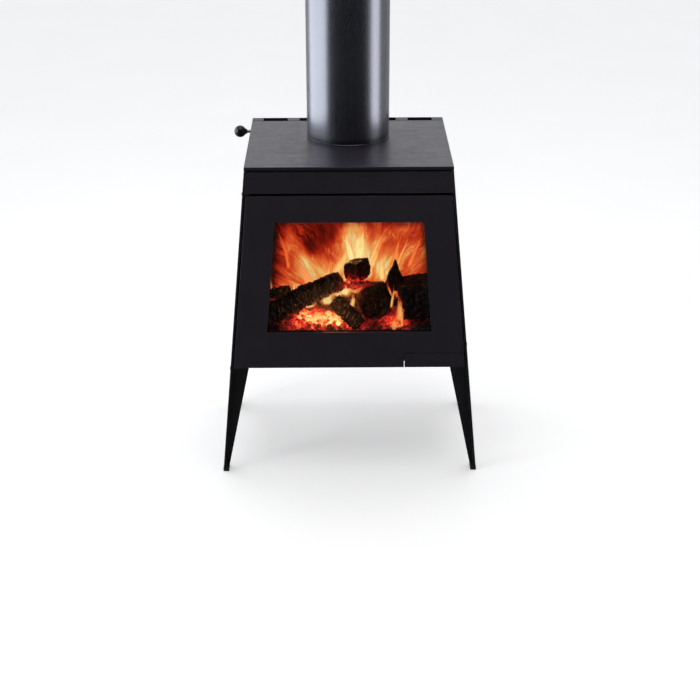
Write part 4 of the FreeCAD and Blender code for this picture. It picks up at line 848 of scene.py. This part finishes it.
def make_rope():
    """The door's knitted seal, an oval rope whose two sets of yarns cross."""
    low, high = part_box("door_rope_seal")
    half_low, half_high = half_widths("door_rope_seal")
    inset, half_wide, half_deep = 0.0055, 0.0052, (high.y - low.y) / 2 - 0.0004
    middle = (low.y + high.y) / 2
    corners = [
        Vector((-half_low + inset * 1.1, middle, low.z + inset)),
        Vector((half_low - inset * 1.1, middle, low.z + inset)),
        Vector((half_high - inset, middle, high.z - inset)),
        Vector((-half_high + inset, middle, high.z - inset)),
    ]
    step, pitch = 0.0016, 0.0085
    path = rounded_loop(corners, 0.011, step)
    around, count = 40, len(path)
    points, groove = [], []
    for index, point in enumerate(path):
        forward = (path[(index + 1) % count] - path[index - 1]).normalized()
        out = forward.cross(Vector((0, 1, 0))).normalized()
        stage = index * step / pitch * 2 * math.pi
        for k in range(around):
            angle = 2 * math.pi * k / around
            first, second = math.sin(stage + 4 * angle), math.sin(stage - 4 * angle)
            weave = max(abs(first), abs(second))
            depth = 1 - 0.18 * (1 - weave)
            side = math.copysign(abs(math.cos(angle)) ** 0.8, math.cos(angle)) * half_wide * depth
            deep = math.copysign(abs(math.sin(angle)) ** 0.8, math.sin(angle)) * half_deep * depth
            points.append(point + out * side + Vector((0, deep, 0)))
            groove.append(1 - weave)
    faces = grid_faces(count, around, closed=True)
    last = (count - 1) * around
    faces += [(last + k, last + (k + 1) % around, (k + 1) % around, k) for k in range(around)]
    rope = make_piece("rope_seal", points, faces, rope_fibre, {"groove": groove}, body="door")
    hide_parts("door_rope_seal")


make_ember_bed()
make_coals()
make_flames()
make_curtain()
make_rope()

charred_log("log_left", (-192, 90, 387), (-20, 171, 442), 27, bow=4, cell=(7.5, 16.0), ashen=0.9, heat=0.85,
            nodes=["log_front_left"])
charred_log("log_block", (7, 168, 462), (36, 216, 462), 29, flats=(4, 1.05, 0.8), cell=(12, 15), ashen=0.25,
            heat=1.0, nodes=["log_crosswise"])
charred_log("log_short", (-34, 132, 405), (26, 94, 354), 21, cell=(7.0, 13.0), ashen=0.9, heat=0.42,
            nodes=["log_front_short"])
charred_log("log_stump", (65, 125, 396), (69, 187, 394), 46, flats=(7, 0.3, 0.4), cell=(12, 18), ashen=0.4,
            heat=0.75, nodes=["log_round"])
charred_log("log_split", (170, 111, 404), (168, 208, 402), 53, flats=(4, 0.92, 0.8), cell=(11, 17), ashen=0.2,
            heat=0.3, nodes=["log_right"])
charred_log("log_peak", (111, 160, 447), (117, 206, 428), 25, flats=(3, 0.52 + math.pi / 3, 0.9), cell=(10, 15),
            ashen=0.25, heat=0.8, flatten=1.5, nodes=["log_right_upper"])
charred_log("log_stub", (-198, 184, 401), (-149, 216, 399), 15, cell=(7, 12), ashen=0.2, heat=0.4,
            nodes=["log_rear_left"])


# ---------------------------------------------------------------- camera, light and floor

# The camera's place in metres, its pitch, yaw and roll in degrees, its lens and sensor in millimetres, and the
# floor's half side in metres.
CAMERA_PLACE = (-0.0221, -3.5505, 1.8161)
CAMERA_TURNS = (24.0, 0.403, 0.161)
LENS, SENSOR = 78.1, 36
FLOOR_REACH = 30


def make_camera():
    """The camera looks down by a pitch, and is turned a little to the right and about its axis."""
    pitch, yaw, roll = (math.radians(turn) for turn in CAMERA_TURNS)
    ahead = Vector((math.sin(yaw) * math.cos(pitch), math.cos(yaw) * math.cos(pitch), -math.sin(pitch)))
    level = Vector((math.cos(yaw), -math.sin(yaw), 0))
    down = ahead.cross(level)
    right = math.cos(roll) * level + math.sin(roll) * down
    upward = math.sin(roll) * level - math.cos(roll) * down
    data = bpy.data.cameras.new("camera")
    data.sensor_width, data.lens = SENSOR, LENS
    camera = bpy.data.objects.new("camera", data)
    camera.matrix_world = Matrix.Translation(CAMERA_PLACE) @ Matrix(
        (right, upward, -ahead)).transposed().to_4x4()
    bpy.context.scene.collection.objects.link(camera)
    bpy.context.scene.camera = camera


def soft_light(name, at, towards, size, radiance, colour=(1, 1, 1), gloss_only=False):
    """A rectangular softbox that the camera doesn't see."""
    data = bpy.data.lights.new(name, "AREA")
    data.shape, data.size, data.size_y = "RECTANGLE", *size
    data.energy = radiance * math.pi * size[0] * size[1]
    data.color = colour
    made = bpy.data.objects.new(name, data)
    made.location = at
    made.rotation_mode = "QUATERNION"
    made.rotation_quaternion = (Vector(towards) - Vector(at)).to_track_quat("-Z", "Y")
    made.visible_camera = False
    made.visible_diffuse = not gloss_only
    bpy.context.scene.collection.objects.link(made)


def fire_light(name, at, energy, size):
    """A small orange lamp in the fire."""
    data = bpy.data.lights.new(name, "POINT")
    data.energy, data.shadow_soft_size, data.color = energy, size, (1.0, 0.42, 0.13)
    made = bpy.data.objects.new(name, data)
    made.location = at
    made.visible_camera = False
    bpy.context.scene.collection.objects.link(made)


def make_world():
    """A pale studio that is brighter behind and above the stove than in front of it."""
    world = bpy.data.worlds.new("studio")
    world.use_nodes = True
    bpy.context.scene.world = world
    tree = world.node_tree
    tree.nodes.clear()
    way = tree.nodes.new("ShaderNodeTexCoord").outputs["Generated"]
    parts = tree.nodes.new("ShaderNodeSeparateXYZ")
    tree.links.new(way, parts.inputs[0])
    spread = tree.nodes.new("ShaderNodeMapRange")
    for index, value in ((1, -0.75), (2, 0.75), (3, 0.03), (4, 1.15)):
        spread.inputs[index].default_value = value
    slope = tree.nodes.new("ShaderNodeMath")
    slope.operation = "MULTIPLY_ADD"
    slope.inputs[1].default_value = -0.30
    tree.links.new(parts.outputs["X"], slope.inputs[0])
    tree.links.new(parts.outputs["Y"], slope.inputs[2])
    tree.links.new(slope.outputs[0], spread.inputs[0])
    studio = tree.nodes.new("ShaderNodeBackground")
    studio.inputs[0].default_value = (0.97, 0.98, 1.0, 1)
    tree.links.new(spread.outputs[0], studio.inputs[1])
    seen = tree.nodes.new("ShaderNodeBackground")
    seen.inputs[0].default_value = (0.93, 0.93, 0.94, 1)
    rays = tree.nodes.new("ShaderNodeLightPath")
    choose = tree.nodes.new("ShaderNodeMixShader")
    tree.links.new(rays.outputs["Is Camera Ray"], choose.inputs[0])
    tree.links.new(studio.outputs[0], choose.inputs[1])
    tree.links.new(seen.outputs[0], choose.inputs[2])
    out = tree.nodes.new("ShaderNodeOutputWorld")
    tree.links.new(choose.outputs[0], out.inputs[0])


def make_floor():
    """A plain pale floor. The stove's gloss shows it dark in front, as a dark hearth would be."""
    s = Shader("floor")
    mottle = s.noise(s.places(), 3, detail=3)
    pale = s.ramp(mottle, (0.3, grey(0.87)), (0.7, grey(0.90)))
    lit = s.principled(Base_Color=pale, Roughness=0.9, Emission_Color=(1, 1, 1), Emission_Strength=0.34)
    spot = s.add("ShaderNodeSeparateXYZ", {0: s.places()})
    ahead = s.math("MULTIPLY", s.math("MINIMUM", spot.outputs["Y"], 0.0), 1.3)
    beside = s.spread(s.math("ADD", s.math("ABSOLUTE", spot.outputs["X"]), ahead), 0.60, 0.80)
    behind = s.spread(spot.outputs["Y"], 0.4, 0.6)
    reflected = s.mix(s.math("MAXIMUM", beside, behind), (0.012, 0.012, 0.014), (0.80, 0.80, 0.82))
    dim = s.principled(Base_Color=reflected, Roughness=0.9, Specular_IOR_Level=0.0)
    rays = s.add("ShaderNodeLightPath").outputs["Is Glossy Ray"]
    material = s.finish(s.add("ShaderNodeMixShader", {0: rays, 1: lit, 2: dim}).outputs[0])
    mesh = bpy.data.meshes.new("floor")
    far = FLOOR_REACH
    mesh.from_pydata([(-far, -far, 0), (far, -far, 0), (far, far, 0), (-far, far, 0)], [], [(0, 1, 2, 3)])
    mesh.materials.append(material)
    floor = bpy.data.objects.new("floor", mesh)
    bpy.context.scene.collection.objects.link(floor)


make_camera()
make_world()
make_floor()
soft_light("left_softbox", (-1.75, 0.20, 0.95), (0, 0.20, 0.75), (2.4, 1.9), 3.6, (0.95, 0.98, 1.0),
           gloss_only=True)
soft_light("right_softbox", (1.75, -0.30, 0.95), (0, -0.30, 0.75), (0.9, 1.9), 3.6, (1.0, 0.98, 0.99),
           gloss_only=True)
soft_light("top_softbox", (0, -0.4, 3.4), (0, 0, 0.5), (2.4, 2.4), 1.9)
soft_light("small_softbox", (-2.0, -1.2, 2.1), (0, 0, 0.7), (0.22, 0.22), 28)
fire_light("fire_behind", place(15, 262, 500), 1.2, 0.05)
fire_light("fire_below", place(-30, 140, 368), 0.35, 0.03)
fire_light("fire_before", place(-30, 48, 410), 0.22, 0.04)
bpy.context.scene.view_settings.view_transform = "Standard"
bpy.context.scene.cycles.transparent_max_bounces = 48
